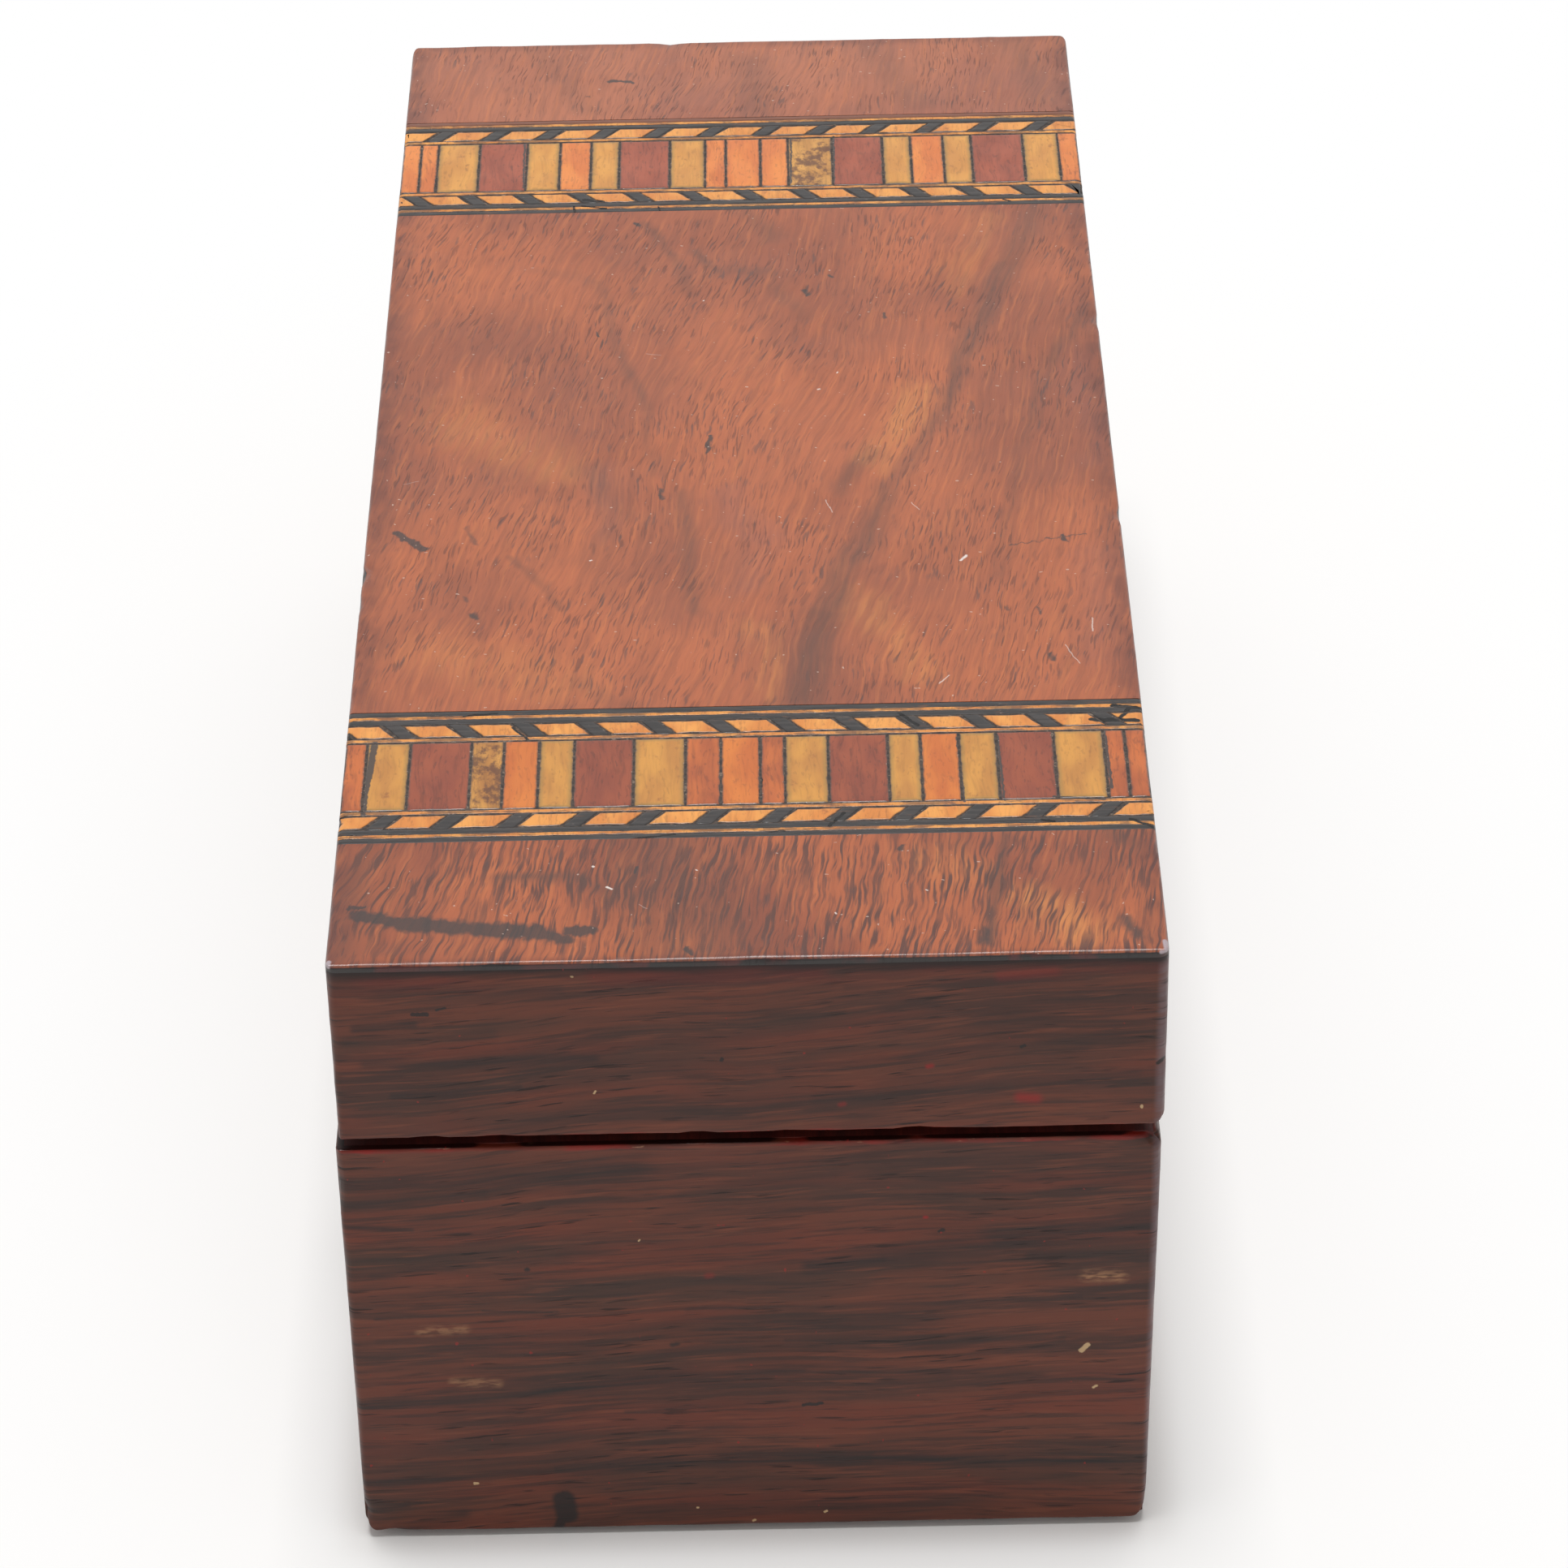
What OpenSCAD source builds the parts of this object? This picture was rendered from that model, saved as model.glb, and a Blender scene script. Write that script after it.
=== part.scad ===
// Veneered keepsake box with a hinged, banded lid and a hidden slide catch.
// X runs across the box (hinges at -X), Y along it (near end at -Y), Z up.
// The origin is the middle of the underside, on the surface that the box stands on.

/* [Overall] */
// Outside width of the base, hinge side to opening side
box_w = 98.8; // [90:0.2:110]
// Outside length, near end to far end
box_l = 230; // [215:1:250]
// Outside height with the lid shut
box_h = 90.2; // [84:0.2:100]
// Height of the middle of the seam between base and lid
seam_z = 63.4; // [58:0.1:66]
// Gap between the rims of base and lid
seam_gap = 1.6; // [0.8:0.1:1.8]
// How far the lid's hinge side stands in from the base's
lid_setback = 0.5; // [0:0.1:1]
// How far the lid's opening side stands out from the base's
lid_overhang = 0.2; // [0:0.1:0.5]
// Radius of the edges round the lid's top
arris_r = 0.6; // [0.3:0.1:1.2]
// Radius of the worn upright corners
edge_r = 1.2; // [0.6:0.1:2]
// Radius of the outer edges along the seam and under the ends
rim_r = 0.4; // [0.2:0.1:0.8]
// Radius of the seam's edges on the opening side, where fingers lift the lid
finger_r = 2.2; // [0.4:0.1:2.4]
// Radius of the worn bottom edges of the long sides
foot_r = 2.4; // [0.6:0.1:2.6]

/* [Carcass] */
// Thickness of the side and end boards
wall_t = 7; // [6.5:0.5:9]
// Thickness of the lid's top board
top_t = 6; // [4:0.5:8]
// Thickness of the bottom board
floor_t = 4.5; // [4.3:0.1:6]
// How far the bottom board stands below the walls
foot_gap = 0.9; // [0.3:0.1:1.5]
// Depth of the rebate that the bottom board sits in
rebate_w = 4; // [3:0.5:5]
// Clearance round the bottom board in its rebate
board_play = 0.1; // [0.05:0.05:0.3]
// Thickness of the saw-cut veneer
veneer_t = 1; // [0.8:0.1:1.4]

/* [Linings] */
// Thickness of the boards that line the walls and carry the lid
lining_t = 2; // [1.5:0.1:3]
// Thickness of the covered card on the floor
floor_card_t = 1.5; // [1:0.1:3]
// Thickness of the covered card under the lid's top board
lid_card_t = 1.5; // [1:0.1:3]

/* [Bands] */
// Distance from each end of the lid to its band
band_inset = 24.3; // [20:0.1:30]
// Width of each band
band_w = 27.8; // [26:0.1:32]
// Width of the dark stringing lines
dark_line_w = 1; // [0.6:0.1:1.3]
// Width of the pale stringing lines
pale_line_w = 0.8; // [0.5:0.1:1.2]
// Width of the rows of slanted lozenges
lozenge_w = 3; // [2:0.1:3.5]
// Distance from one pale lozenge to the next
lozenge_pitch = 7.95; // [6:0.05:10]
// Length of a dark lozenge
dark_lozenge_l = 2.8; // [2:0.1:4]
// How far a lozenge leans across its row
lozenge_lean = 2.2; // [1:0.1:3]
// Glue line between neighbouring pieces of a band
glue_w = 0.15; // [0.1:0.05:0.3]

/* [Hinges] */
// Distance from each end of the box to the middle of a hinge
hinge_inset = 57.5; // [45:0.5:70]
// Length of a hinge
hinge_l = 16; // [14:1:24]
// How far the hinge pin stands outside the box
pin_offset = 1.2; // [1.2:0.1:1.6]
// Radius of the knuckles
knuckle_r = 1.4; // [1.3:0.05:1.5]
// Radius of the hinge pin
pin_r = 0.6; // [0.5:0.05:0.7]
// Radial running clearance of the pin in the knuckles
pin_play = 0.05; // [0.03:0.01:0.08]
// Thickness of a leaf
leaf_t = 1.2; // [1:0.1:1.5]
// Width of a leaf, from the outside of the box inwards
leaf_w = 6.5; // [6:0.1:7.2]
// Play between the leaves when the lid is shut
leaf_play = 0.1; // [0.05:0.05:0.2]
// Outer radius of the stop heels
heel_r = 2.4; // [2.3:0.1:2.6]
// Angle at which the stop heels meet
stop_deg = 95; // [90:1:105]

/* [Catch] */
// Travel of the hidden slide
slide_travel = 6; // [4:0.5:7]
// Distance of the slide's middle from the opening side
slide_inset = 19; // [18:0.5:25]
// Width of the slide in the underside
slide_w = 10; // [8:0.5:12]
// Length of the slide in the underside
slide_l = 46; // [30:1:60]
// Width of the slide's retaining flange on each side
flange_w = 1.5; // [1:0.1:2]
// Thickness of the retaining flange
flange_t = 1; // [0.8:0.1:1.2]
// Depth of the slide's face below the underside
slide_lift = 0.15; // [0.1:0.05:0.4]
// Running clearance of the slide and the lock bar
run = 0.3; // [0.2:0.05:0.4]
// Thickness of the lock bar
bar_t = 2; // [1.5:0.1:2.2]
// Width of the lock bar
bar_w = 8; // [7:0.5:10]
// Thickness of the lock bar's foot
foot_t = 1; // [0.8:0.1:1.2]
// Length of the lock bar's neck along the box
neck_l = 4; // [3:0.5:4]
// Height of the lock bar's head
head_h = 2.6; // [2:0.1:3.5]
// Clearance between the head and the keeper's slot
keeper_play = 0.4; // [0.3:0.05:0.5]
// Thickness of the keeper plate
keeper_t = 1.2; // [1:0.1:1.5]

/* [Fasteners] */
// Shank radius of the brass screws
screw_r = 0.75; // [0.6:0.05:0.9]
// Head radius of the brass screws
screw_head_r = 1.4; // [1.2:0.1:1.6]
// Length of the hinge screws
screw_l = 8; // [6:0.5:10]
// Length of the short screws of the catch
short_screw_l = 5; // [4:0.5:7]
// Shank radius of the bottom board's brads
brad_r = 0.55; // [0.4:0.05:0.7]
// Length of the bottom board's brads
brad_l = 14; // [10:1:20]

/* [Hidden] */

$fn = 48;
eps = 0.01;
through = 1;

// Colours
rosewood = [0.35, 0.20, 0.15];
walnut = [0.62, 0.33, 0.20];
pine = [0.72, 0.55, 0.36];
mahogany = [0.45, 0.22, 0.14];
velvet = [0.35, 0.05, 0.08];
brass = [0.78, 0.62, 0.30];
steel = [0.45, 0.43, 0.42];
ebony = [0.10, 0.09, 0.09];
boxwood = [0.85, 0.58, 0.28];
orange_wood = [0.82, 0.42, 0.18];
red_wood = [0.70, 0.32, 0.17];
brown_wood = [0.50, 0.22, 0.16];
olive_wood = [0.66, 0.50, 0.22];
spalted_wood = [0.58, 0.44, 0.20];

// Half sizes and levels, from the outside of the box inwards
half_w = box_w / 2;
half_l = box_l / 2;
core_w = half_w - veneer_t;
lid_back_x = -half_w + lid_setback;
lid_front_x = half_w + lid_overhang;
core_l = half_l - veneer_t;
bay_w = core_w - wall_t;
bay_l = core_l - wall_t;
room_w = bay_w - lining_t;
room_l = bay_l - lining_t;
rim_z = seam_z - seam_gap / 2;
lid_z = seam_z + seam_gap / 2;
skin_z = box_h - veneer_t;
ceiling_z = skin_z - top_t;
card_z = ceiling_z - lid_card_t;

// Hinges
pin_x = -half_w - pin_offset;
hinge_y = half_l - hinge_inset;
base_leaf_z = seam_z - leaf_play / 2 - leaf_t;
lid_leaf_z = seam_z + leaf_play / 2;
leaf_end_x = -half_w + leaf_w;
knuckle_gap = 0.15;
knuckle_l = hinge_l / 3;
heel_play = 0.15;
knuckle_relief_r = knuckle_r + 0.3;
mortise_play = 0.1;
leaf_screw_x = -half_w + leaf_w / 2;
leaf_screw_y = hinge_l * 0.3;

// Catch
slide_x = half_w - slide_inset;
shoulder_z = floor_t / 2;
foot_z = shoulder_z + flange_t;
bar_x = bay_w + 2;
bar_end_x = bar_x + bar_t;
foot_half_l = bar_w / 2 + 2;
neck_y = -bar_w / 2;
head_l = bar_w / 2 + slide_travel - neck_y;
head_z = lid_z + keeper_t + run;
head_top_z = head_z + head_h;
keeper_margin = 8;
keeper_inset = 0.2;
keeper_y0 = neck_y - keeper_play - keeper_margin;
keeper_y1 = neck_y + head_l + keeper_play + slide_travel + keeper_margin;
keeper_screw_inset = 3.5;
keeper_x = (bay_w + core_w) / 2;
foot_screw_y = foot_half_l / 2;

// Fasteners
screw_play = 0.05;
screw_head_h = 1;
slot_w = 0.4;
slot_d = 0.4;
brad_head_r = 1.1;
brad_head_h = 0.5;
brad_x = bay_w + rebate_w / 2;
brad_y = bay_l + rebate_w / 2;
brad_rows = [-0.8, -0.3, 0.3, 0.8];
brad_columns = [-0.5, 0.5];

// Bands: wood and width of each block from the hinge side
near_blocks = [
    ["red", 2.7], ["olive", 5.3], ["brown", 7.5], ["spalted", 4.0], ["orange", 4.3],
    ["olive", 4.3], ["brown", 7.3], ["olive", 6.3], ["red", 4.3], ["orange", 4.8],
    ["red", 3.0], ["olive", 5.3], ["brown", 7.3], ["olive", 4.0], ["orange", 4.7],
    ["olive", 4.6], ["brown", 7.0], ["olive", 6.1], ["red", 2.6], ["red", 2.6]
];
far_blocks = [
    ["orange", 2.7], ["red", 2.5], ["olive", 6.0], ["brown", 6.9], ["olive", 4.8],
    ["orange", 4.5], ["olive", 4.1], ["brown", 7.3], ["olive", 5.1], ["red", 3.0],
    ["orange", 5.0], ["orange", 4.0], ["spalted", 6.4], ["brown", 7.3], ["olive", 4.1],
    ["orange", 4.7], ["olive", 4.1], ["brown", 7.5], ["olive", 5.1], ["red", 2.9]
];
near_band_y = -half_l + band_inset;
far_band_y = half_l - band_inset - band_w;
row_y = 2 * dark_line_w + pale_line_w;
block_y = row_y + lozenge_w + pale_line_w;
// Distance of the first dark lozenge from the hinge side, and its lean
near_low_row = [5.4, 1];
near_high_row = [6.6, -1];
far_low_row = [2.8, -1];
far_high_row = [5.4, 1];

function sum_to(blocks, n) = n == 0 ? 0 : blocks[n - 1][1] + sum_to(blocks, n - 1);

// ---------- shared shapes ----------

// Box between two opposite corners
module slab(low, high) translate(low) cube(high - low);

// Profile drawn in X and Z, carried along Y
module along_y(y0, y1)
    translate([0, y1, 0]) rotate([90, 0, 0]) linear_extrude(y1 - y0) children();

// Profile drawn in Y and Z, carried along X
module along_x(x0, x1)
    translate([x0, 0, 0]) rotate([90, 0, 90]) linear_extrude(x1 - x0) children();

// What a rounded corner takes off a square one
module corner_waste(r) difference() {
    translate([-through, -through]) square(r + through);
    translate([r, r]) circle(r = r);
}

// Rectangle between two corners, with a radius for each of its corners:
// low left, low right, high left, high right
module worn_rectangle(low, high, radii) difference() {
    translate(low) square(high - low);
    translate(low) corner_waste(radii[0]);
    translate([high[0], low[1]]) mirror([1, 0]) corner_waste(radii[1]);
    translate([low[0], high[1]]) mirror([0, 1]) corner_waste(radii[2]);
    translate(high) mirror([1, 0]) mirror([0, 1]) corner_waste(radii[3]);
}

// Outside of the base or of the lid between two corners in X and Z, with its worn edges
module worn_block(low, high, side_radii, end_radii) intersection() {
    translate([0, 0, low[1]]) linear_extrude(high[1] - low[1])
        worn_rectangle([low[0], -half_l], [high[0], half_l], [edge_r, edge_r, edge_r, edge_r]);
    along_y(-half_l, half_l) worn_rectangle(low, high, side_radii);
    along_x(low[0], high[0])
        worn_rectangle([-half_l, low[1]], [half_l, high[1]], end_radii);
}

module base_outside() worn_block(
    [-half_w, foot_gap], [half_w, rim_z],
    [foot_r, foot_r, rim_r, finger_r], [rim_r, rim_r, rim_r, rim_r]);

module lid_outside() worn_block(
    [lid_back_x, lid_z], [lid_front_x, box_h],
    [rim_r, finger_r, arris_r, arris_r], [rim_r, rim_r, arris_r, arris_r]);

// Slotted countersunk screw, its head at the origin and its point at -Z
module screw(length) difference() {
    union() {
        translate([0, 0, -screw_head_h])
            cylinder(h = screw_head_h, r1 = screw_r, r2 = screw_head_r);
        translate([0, 0, -length]) cylinder(h = length, r = screw_r);
    }
    translate([-screw_head_r, -slot_w / 2, -slot_d])
        cube([2 * screw_head_r, slot_w, slot_d + through]);
}

// Hole that fits a screw
module screw_hole(length) {
    translate([0, 0, -screw_head_h - eps])
        cylinder(h = screw_head_h + 2 * eps, r1 = screw_r + screw_play,
                 r2 = screw_head_r + screw_play);
    translate([0, 0, -length - screw_play])
        cylinder(h = length + screw_play, r = screw_r + screw_play);
}

module at_hinges() for (side = [-1, 1]) translate([0, side * hinge_y, 0]) children();

module at_leaf_screws() at_hinges() for (side = [-1, 1])
    translate([leaf_screw_x, side * leaf_screw_y, 0]) children();

module at_keeper_screws() for (y = [keeper_y0 + keeper_screw_inset, keeper_y1 - keeper_screw_inset])
    translate([keeper_x, y, lid_z]) mirror([0, 0, 1]) children();

module at_foot_screws() for (side = [-1, 1])
    translate([slide_x, side * foot_screw_y, foot_z + foot_t]) children();

module at_brads() {
    for (side = [-1, 1], row = brad_rows) translate([side * brad_x, row * bay_l, 0]) children();
    for (side = [-1, 1], column = brad_columns)
        translate([column * bay_w, side * brad_y, 0]) children();
}

// ---------- cuts shared by several pieces ----------

module bottom_rebate() slab(
    [-bay_w - rebate_w - board_play, -bay_l - rebate_w - board_play, -through],
    [bay_w + rebate_w + board_play, bay_l + rebate_w + board_play, floor_t]);

module brad_holes() at_brads() cylinder(h = brad_l + screw_play, r = brad_r + screw_play);

// Recesses for the base leaves, with room for the knuckles
module base_leaf_mortises() {
    at_hinges() slab(
        [-half_w - through, -hinge_l / 2 - mortise_play, base_leaf_z],
        [leaf_end_x + mortise_play, hinge_l / 2 + mortise_play, seam_z]);
    knuckle_relief();
    translate([0, 0, base_leaf_z + leaf_t]) at_leaf_screws() screw_hole(screw_l);
}

// Recesses for the lid leaves, with room for the knuckles
module lid_leaf_mortises() {
    at_hinges() slab(
        [-half_w - through, -hinge_l / 2 - mortise_play, seam_z],
        [leaf_end_x + mortise_play, hinge_l / 2 + mortise_play, lid_leaf_z + leaf_t]);
    knuckle_relief();
    translate([0, 0, lid_leaf_z]) at_leaf_screws() mirror([0, 0, 1]) screw_hole(screw_l);
}

module knuckle_relief() translate([pin_x, 0, seam_z]) at_hinges()
    along_y(-hinge_l / 2 - mortise_play, hinge_l / 2 + mortise_play)
        circle(r = knuckle_relief_r);

// Way for the lock bar inside the front wall
module bar_channel() slab(
    [bay_w - through, -bar_w / 2 - run, foot_z - run],
    [bar_end_x + run, bar_w / 2 + slide_travel + run, rim_z + through]);

// Way for the slide, its flange and the lock bar's foot in the bottom board
module slide_way() {
    slab([slide_x - slide_w / 2 - run, -slide_l / 2 - run, -through],
         [slide_x + slide_w / 2 + run, slide_l / 2 + slide_travel + run, floor_t + through]);
    slab([slide_x - slide_w / 2 - flange_w - run, -slide_l / 2 - flange_w - run, shoulder_z],
         [slide_x + slide_w / 2 + flange_w + run,
          slide_l / 2 + flange_w + slide_travel + run, floor_t + through]);
    slab([slide_x, -foot_half_l - run, foot_z - run],
         [bar_end_x + run, foot_half_l + slide_travel + run, floor_t + through]);
}

// ---------- base ----------

// Box between two corners, as far as the worn outside of the base leaves it
module base_slab(low, high) intersection() {
    slab(low, high);
    base_outside();
}

module back_wall() color(pine) difference() {
    base_slab([-core_w, -core_l, foot_gap], [-bay_w, core_l, rim_z]);
    bottom_rebate();
    base_leaf_mortises();
    brad_holes();
}

module front_wall() color(pine) difference() {
    base_slab([bay_w, -core_l, foot_gap], [core_w, core_l, rim_z]);
    bottom_rebate();
    bar_channel();
    brad_holes();
}

module near_wall() color(pine) difference() {
    base_slab([-bay_w, -core_l, foot_gap], [bay_w, -bay_l, rim_z]);
    bottom_rebate();
    brad_holes();
}

module far_wall() color(pine) difference() {
    base_slab([-bay_w, bay_l, foot_gap], [bay_w, core_l, rim_z]);
    bottom_rebate();
    brad_holes();
}

module bottom_board() color(pine) difference() {
    slab([-bay_w - rebate_w, -bay_l - rebate_w, 0], [bay_w + rebate_w, bay_l + rebate_w, floor_t]);
    slide_way();
    brad_holes();
    at_brads() translate([0, 0, -eps])
        cylinder(h = brad_head_h + eps, r = brad_head_r + screw_play);
}

module back_veneer() color(rosewood) difference() {
    base_slab([-half_w, -core_l, foot_gap], [-core_w, core_l, rim_z]);
    base_leaf_mortises();
}

module front_veneer() color(rosewood)
    base_slab([core_w, -core_l, foot_gap], [half_w, core_l, rim_z]);

module near_veneer() color(rosewood)
    base_slab([-half_w, -half_l, foot_gap], [half_w, -core_l, rim_z]);

module far_veneer() color(rosewood)
    base_slab([-half_w, core_l, foot_gap], [half_w, half_l, rim_z]);

module back_lining() color(mahogany) slab([-bay_w, -bay_l, floor_t], [-room_w, bay_l, lid_z]);

module front_lining() color(mahogany) slab([room_w, -bay_l, floor_t], [bay_w, bay_l, lid_z]);

module near_lining() color(mahogany) slab([-room_w, -bay_l, floor_t], [room_w, -room_l, lid_z]);

module far_lining() color(mahogany) slab([-room_w, room_l, floor_t], [room_w, bay_l, lid_z]);

module floor_lining() color(velvet)
    slab([-room_w, -room_l, floor_t], [room_w, room_l, floor_t + floor_card_t]);

module bottom_brads() color(steel) at_brads() {
    cylinder(h = brad_head_h, r = brad_head_r);
    cylinder(h = brad_l, r = brad_r);
}

// ---------- hinges ----------

// Sector that a stop heel fills, from the pin out, between two angles
module heel_sector(from_deg, to_deg) intersection() {
    circle(r = heel_r);
    polygon([[0, 0],
             2 * heel_r * [cos(from_deg), sin(from_deg)],
             2 * heel_r * [cos(to_deg), sin(to_deg)]]);
}

// One leaf: plate at plate_z, knuckles at the given thirds, heel between two angles
module hinge_leaf(plate_z, own_thirds, other_thirds, from_deg, to_deg) difference() {
    union() {
        slab([pin_x, -hinge_l / 2, plate_z], [leaf_end_x, hinge_l / 2, plate_z + leaf_t]);
        translate([pin_x, 0, seam_z]) {
            for (third = own_thirds) third_along(third, knuckle_gap / 2) circle(r = knuckle_r);
            along_y(-hinge_l / 2, hinge_l / 2) heel_sector(from_deg, to_deg);
        }
    }
    translate([pin_x, 0, seam_z]) {
        for (third = other_thirds) third_along(third, -knuckle_gap / 2)
            circle(r = knuckle_r + heel_play);
        along_y(-hinge_l, hinge_l) circle(r = pin_r + pin_play);
    }
}

// Profile carried along one third of the hinge, cut back at each end
module third_along(third, cut_back)
    along_y((third - 1.5) * knuckle_l + cut_back, (third - 0.5) * knuckle_l - cut_back)
        children();

module hinge_base_leaves() color(brass) difference() {
    at_hinges() hinge_leaf(base_leaf_z, [0, 2], [1], 180 + stop_deg / 2, 270);
    translate([0, 0, base_leaf_z + leaf_t]) at_leaf_screws() screw_hole(screw_l);
}

module hinge_lid_leaves() color(brass) difference() {
    at_hinges() hinge_leaf(lid_leaf_z, [1], [0, 2], 90, 180 - stop_deg / 2);
    translate([0, 0, lid_leaf_z]) at_leaf_screws() mirror([0, 0, 1]) screw_hole(screw_l);
}

module hinge_pins() color(brass) translate([pin_x, 0, seam_z]) at_hinges()
    along_y(-hinge_l / 2, hinge_l / 2) circle(r = pin_r);

module hinge_base_screws() color(brass)
    translate([0, 0, base_leaf_z + leaf_t]) at_leaf_screws() screw(screw_l);

module hinge_lid_screws() color(brass)
    translate([0, 0, lid_leaf_z]) at_leaf_screws() mirror([0, 0, 1]) screw(screw_l);

// ---------- lid ----------

// Box between two corners, as far as the worn outside of the lid leaves it
module lid_slab(low, high) intersection() {
    slab(low, high);
    lid_outside();
}

module lid_top_board() color(pine)
    slab([lid_back_x + veneer_t, -core_l, ceiling_z], [lid_front_x - veneer_t, core_l, skin_z]);

module lid_back_rail() color(pine) difference() {
    slab([lid_back_x + veneer_t, -core_l, lid_z], [-bay_w, core_l, ceiling_z]);
    lid_leaf_mortises();
}

module lid_front_rail() color(pine) difference() {
    lid_slab([bay_w, -core_l, lid_z], [lid_front_x - veneer_t, core_l, ceiling_z]);
    keeper_recess();
    head_mortise();
    at_keeper_screws() screw_hole(short_screw_l);
}

module lid_near_rail() color(pine) slab([-bay_w, -core_l, lid_z], [bay_w, -bay_l, ceiling_z]);

module lid_far_rail() color(pine) slab([-bay_w, bay_l, lid_z], [bay_w, core_l, ceiling_z]);

module lid_back_veneer() color(rosewood) difference() {
    lid_slab([lid_back_x, -core_l, lid_z], [lid_back_x + veneer_t, core_l, skin_z]);
    lid_leaf_mortises();
}

module lid_front_veneer() color(rosewood)
    lid_slab([lid_front_x - veneer_t, -core_l, lid_z], [lid_front_x, core_l, skin_z]);

module lid_near_veneer() color(rosewood)
    lid_slab([lid_back_x, -half_l, lid_z], [lid_front_x, -core_l, skin_z]);

module lid_far_veneer() color(rosewood)
    lid_slab([lid_back_x, core_l, lid_z], [lid_front_x, half_l, skin_z]);

// Part of the top veneer between two distances along the box
module top_veneer(y0, y1) lid_slab([lid_back_x, y0, skin_z], [lid_front_x, y1, box_h]);

module top_field_near() color(walnut) top_veneer(-half_l, near_band_y);

module top_field_centre() color(walnut) top_veneer(near_band_y + band_w, far_band_y);

module top_field_far() color(walnut) top_veneer(far_band_y + band_w, half_l);

module lid_back_lining() color(mahogany) slab([-bay_w, -bay_l, lid_z], [-room_w, bay_l, card_z]);

module lid_front_lining() color(mahogany) slab([room_w, -bay_l, lid_z], [bay_w, bay_l, card_z]);

module lid_near_lining() color(mahogany) slab([-room_w, -bay_l, lid_z], [room_w, -room_l, card_z]);

module lid_far_lining() color(mahogany) slab([-room_w, room_l, lid_z], [room_w, bay_l, card_z]);

module lid_ceiling_lining() color(velvet)
    slab([-bay_w, -bay_l, card_z], [bay_w, bay_l, ceiling_z]);

// ---------- bands ----------

// One line of stringing across the lid
module string_line(y, width) top_veneer(y, y + width);

module dark_lines(band_y) {
    string_line(band_y, dark_line_w);
    string_line(band_y + dark_line_w + pale_line_w, dark_line_w);
    string_line(band_y + band_w - row_y, dark_line_w);
    string_line(band_y + band_w - dark_line_w, dark_line_w);
}

module pale_lines(band_y) {
    string_line(band_y + dark_line_w, pale_line_w);
    string_line(band_y + block_y - pale_line_w, pale_line_w);
    string_line(band_y + band_w - block_y, pale_line_w);
    string_line(band_y + band_w - dark_line_w - pale_line_w, pale_line_w);
}

// Lozenges of one row that run from start to start + length, once every pitch
module lozenge_row(y, start, length, lean, margin) intersection() {
    lid_outside();
    translate([lid_back_x, y, skin_z]) linear_extrude(veneer_t)
        for (i = [-1 : ceil(box_w / lozenge_pitch)]) translate([start + i * lozenge_pitch, 0])
            polygon([[-lean / 2, margin], [length - lean / 2, margin],
                     [length + lean / 2, lozenge_w - margin], [lean / 2, lozenge_w - margin]]);
}

module dark_row(y, row) lozenge_row(
    y, row[0] - dark_lozenge_l / 2, dark_lozenge_l, row[1] * lozenge_lean, 0);

module pale_row(y, row) lozenge_row(
    y, row[0] + dark_lozenge_l / 2 + glue_w,
    lozenge_pitch - dark_lozenge_l - 2 * glue_w, row[1] * lozenge_lean, glue_w);

// Blocks of one wood, standing across the middle of a band
module band_blocks(band_y, blocks, wood) {
    stretch = (lid_front_x - lid_back_x) / sum_to(blocks, len(blocks));
    intersection() {
        lid_outside();
        for (i = [0 : len(blocks) - 1]) if (blocks[i][0] == wood) slab(
            [lid_back_x + sum_to(blocks, i) * stretch + glue_w / 2,
             band_y + block_y + glue_w, skin_z],
            [lid_back_x + sum_to(blocks, i + 1) * stretch - glue_w / 2,
             band_y + band_w - block_y - glue_w, box_h]);
    }
}

module near_band_dark_lines() color(ebony) dark_lines(near_band_y);

module near_band_pale_lines() color(boxwood) pale_lines(near_band_y);

module near_band_dark_lozenges() color(ebony) {
    dark_row(near_band_y + row_y, near_low_row);
    dark_row(near_band_y + band_w - row_y - lozenge_w, near_high_row);
}

module near_band_pale_lozenges() color(boxwood) {
    pale_row(near_band_y + row_y, near_low_row);
    pale_row(near_band_y + band_w - row_y - lozenge_w, near_high_row);
}

module near_band_orange_blocks() color(orange_wood) band_blocks(near_band_y, near_blocks, "orange");

module near_band_red_blocks() color(red_wood) band_blocks(near_band_y, near_blocks, "red");

module near_band_brown_blocks() color(brown_wood) band_blocks(near_band_y, near_blocks, "brown");

module near_band_olive_blocks() color(olive_wood) band_blocks(near_band_y, near_blocks, "olive");

module near_band_spalted_blocks() color(spalted_wood)
    band_blocks(near_band_y, near_blocks, "spalted");

module far_band_dark_lines() color(ebony) dark_lines(far_band_y);

module far_band_pale_lines() color(boxwood) pale_lines(far_band_y);

module far_band_dark_lozenges() color(ebony) {
    dark_row(far_band_y + row_y, far_low_row);
    dark_row(far_band_y + band_w - row_y - lozenge_w, far_high_row);
}

module far_band_pale_lozenges() color(boxwood) {
    pale_row(far_band_y + row_y, far_low_row);
    pale_row(far_band_y + band_w - row_y - lozenge_w, far_high_row);
}

module far_band_orange_blocks() color(orange_wood) band_blocks(far_band_y, far_blocks, "orange");

module far_band_red_blocks() color(red_wood) band_blocks(far_band_y, far_blocks, "red");

module far_band_brown_blocks() color(brown_wood) band_blocks(far_band_y, far_blocks, "brown");

module far_band_olive_blocks() color(olive_wood) band_blocks(far_band_y, far_blocks, "olive");

module far_band_spalted_blocks() color(spalted_wood)
    band_blocks(far_band_y, far_blocks, "spalted");

// ---------- catch ----------

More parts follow.
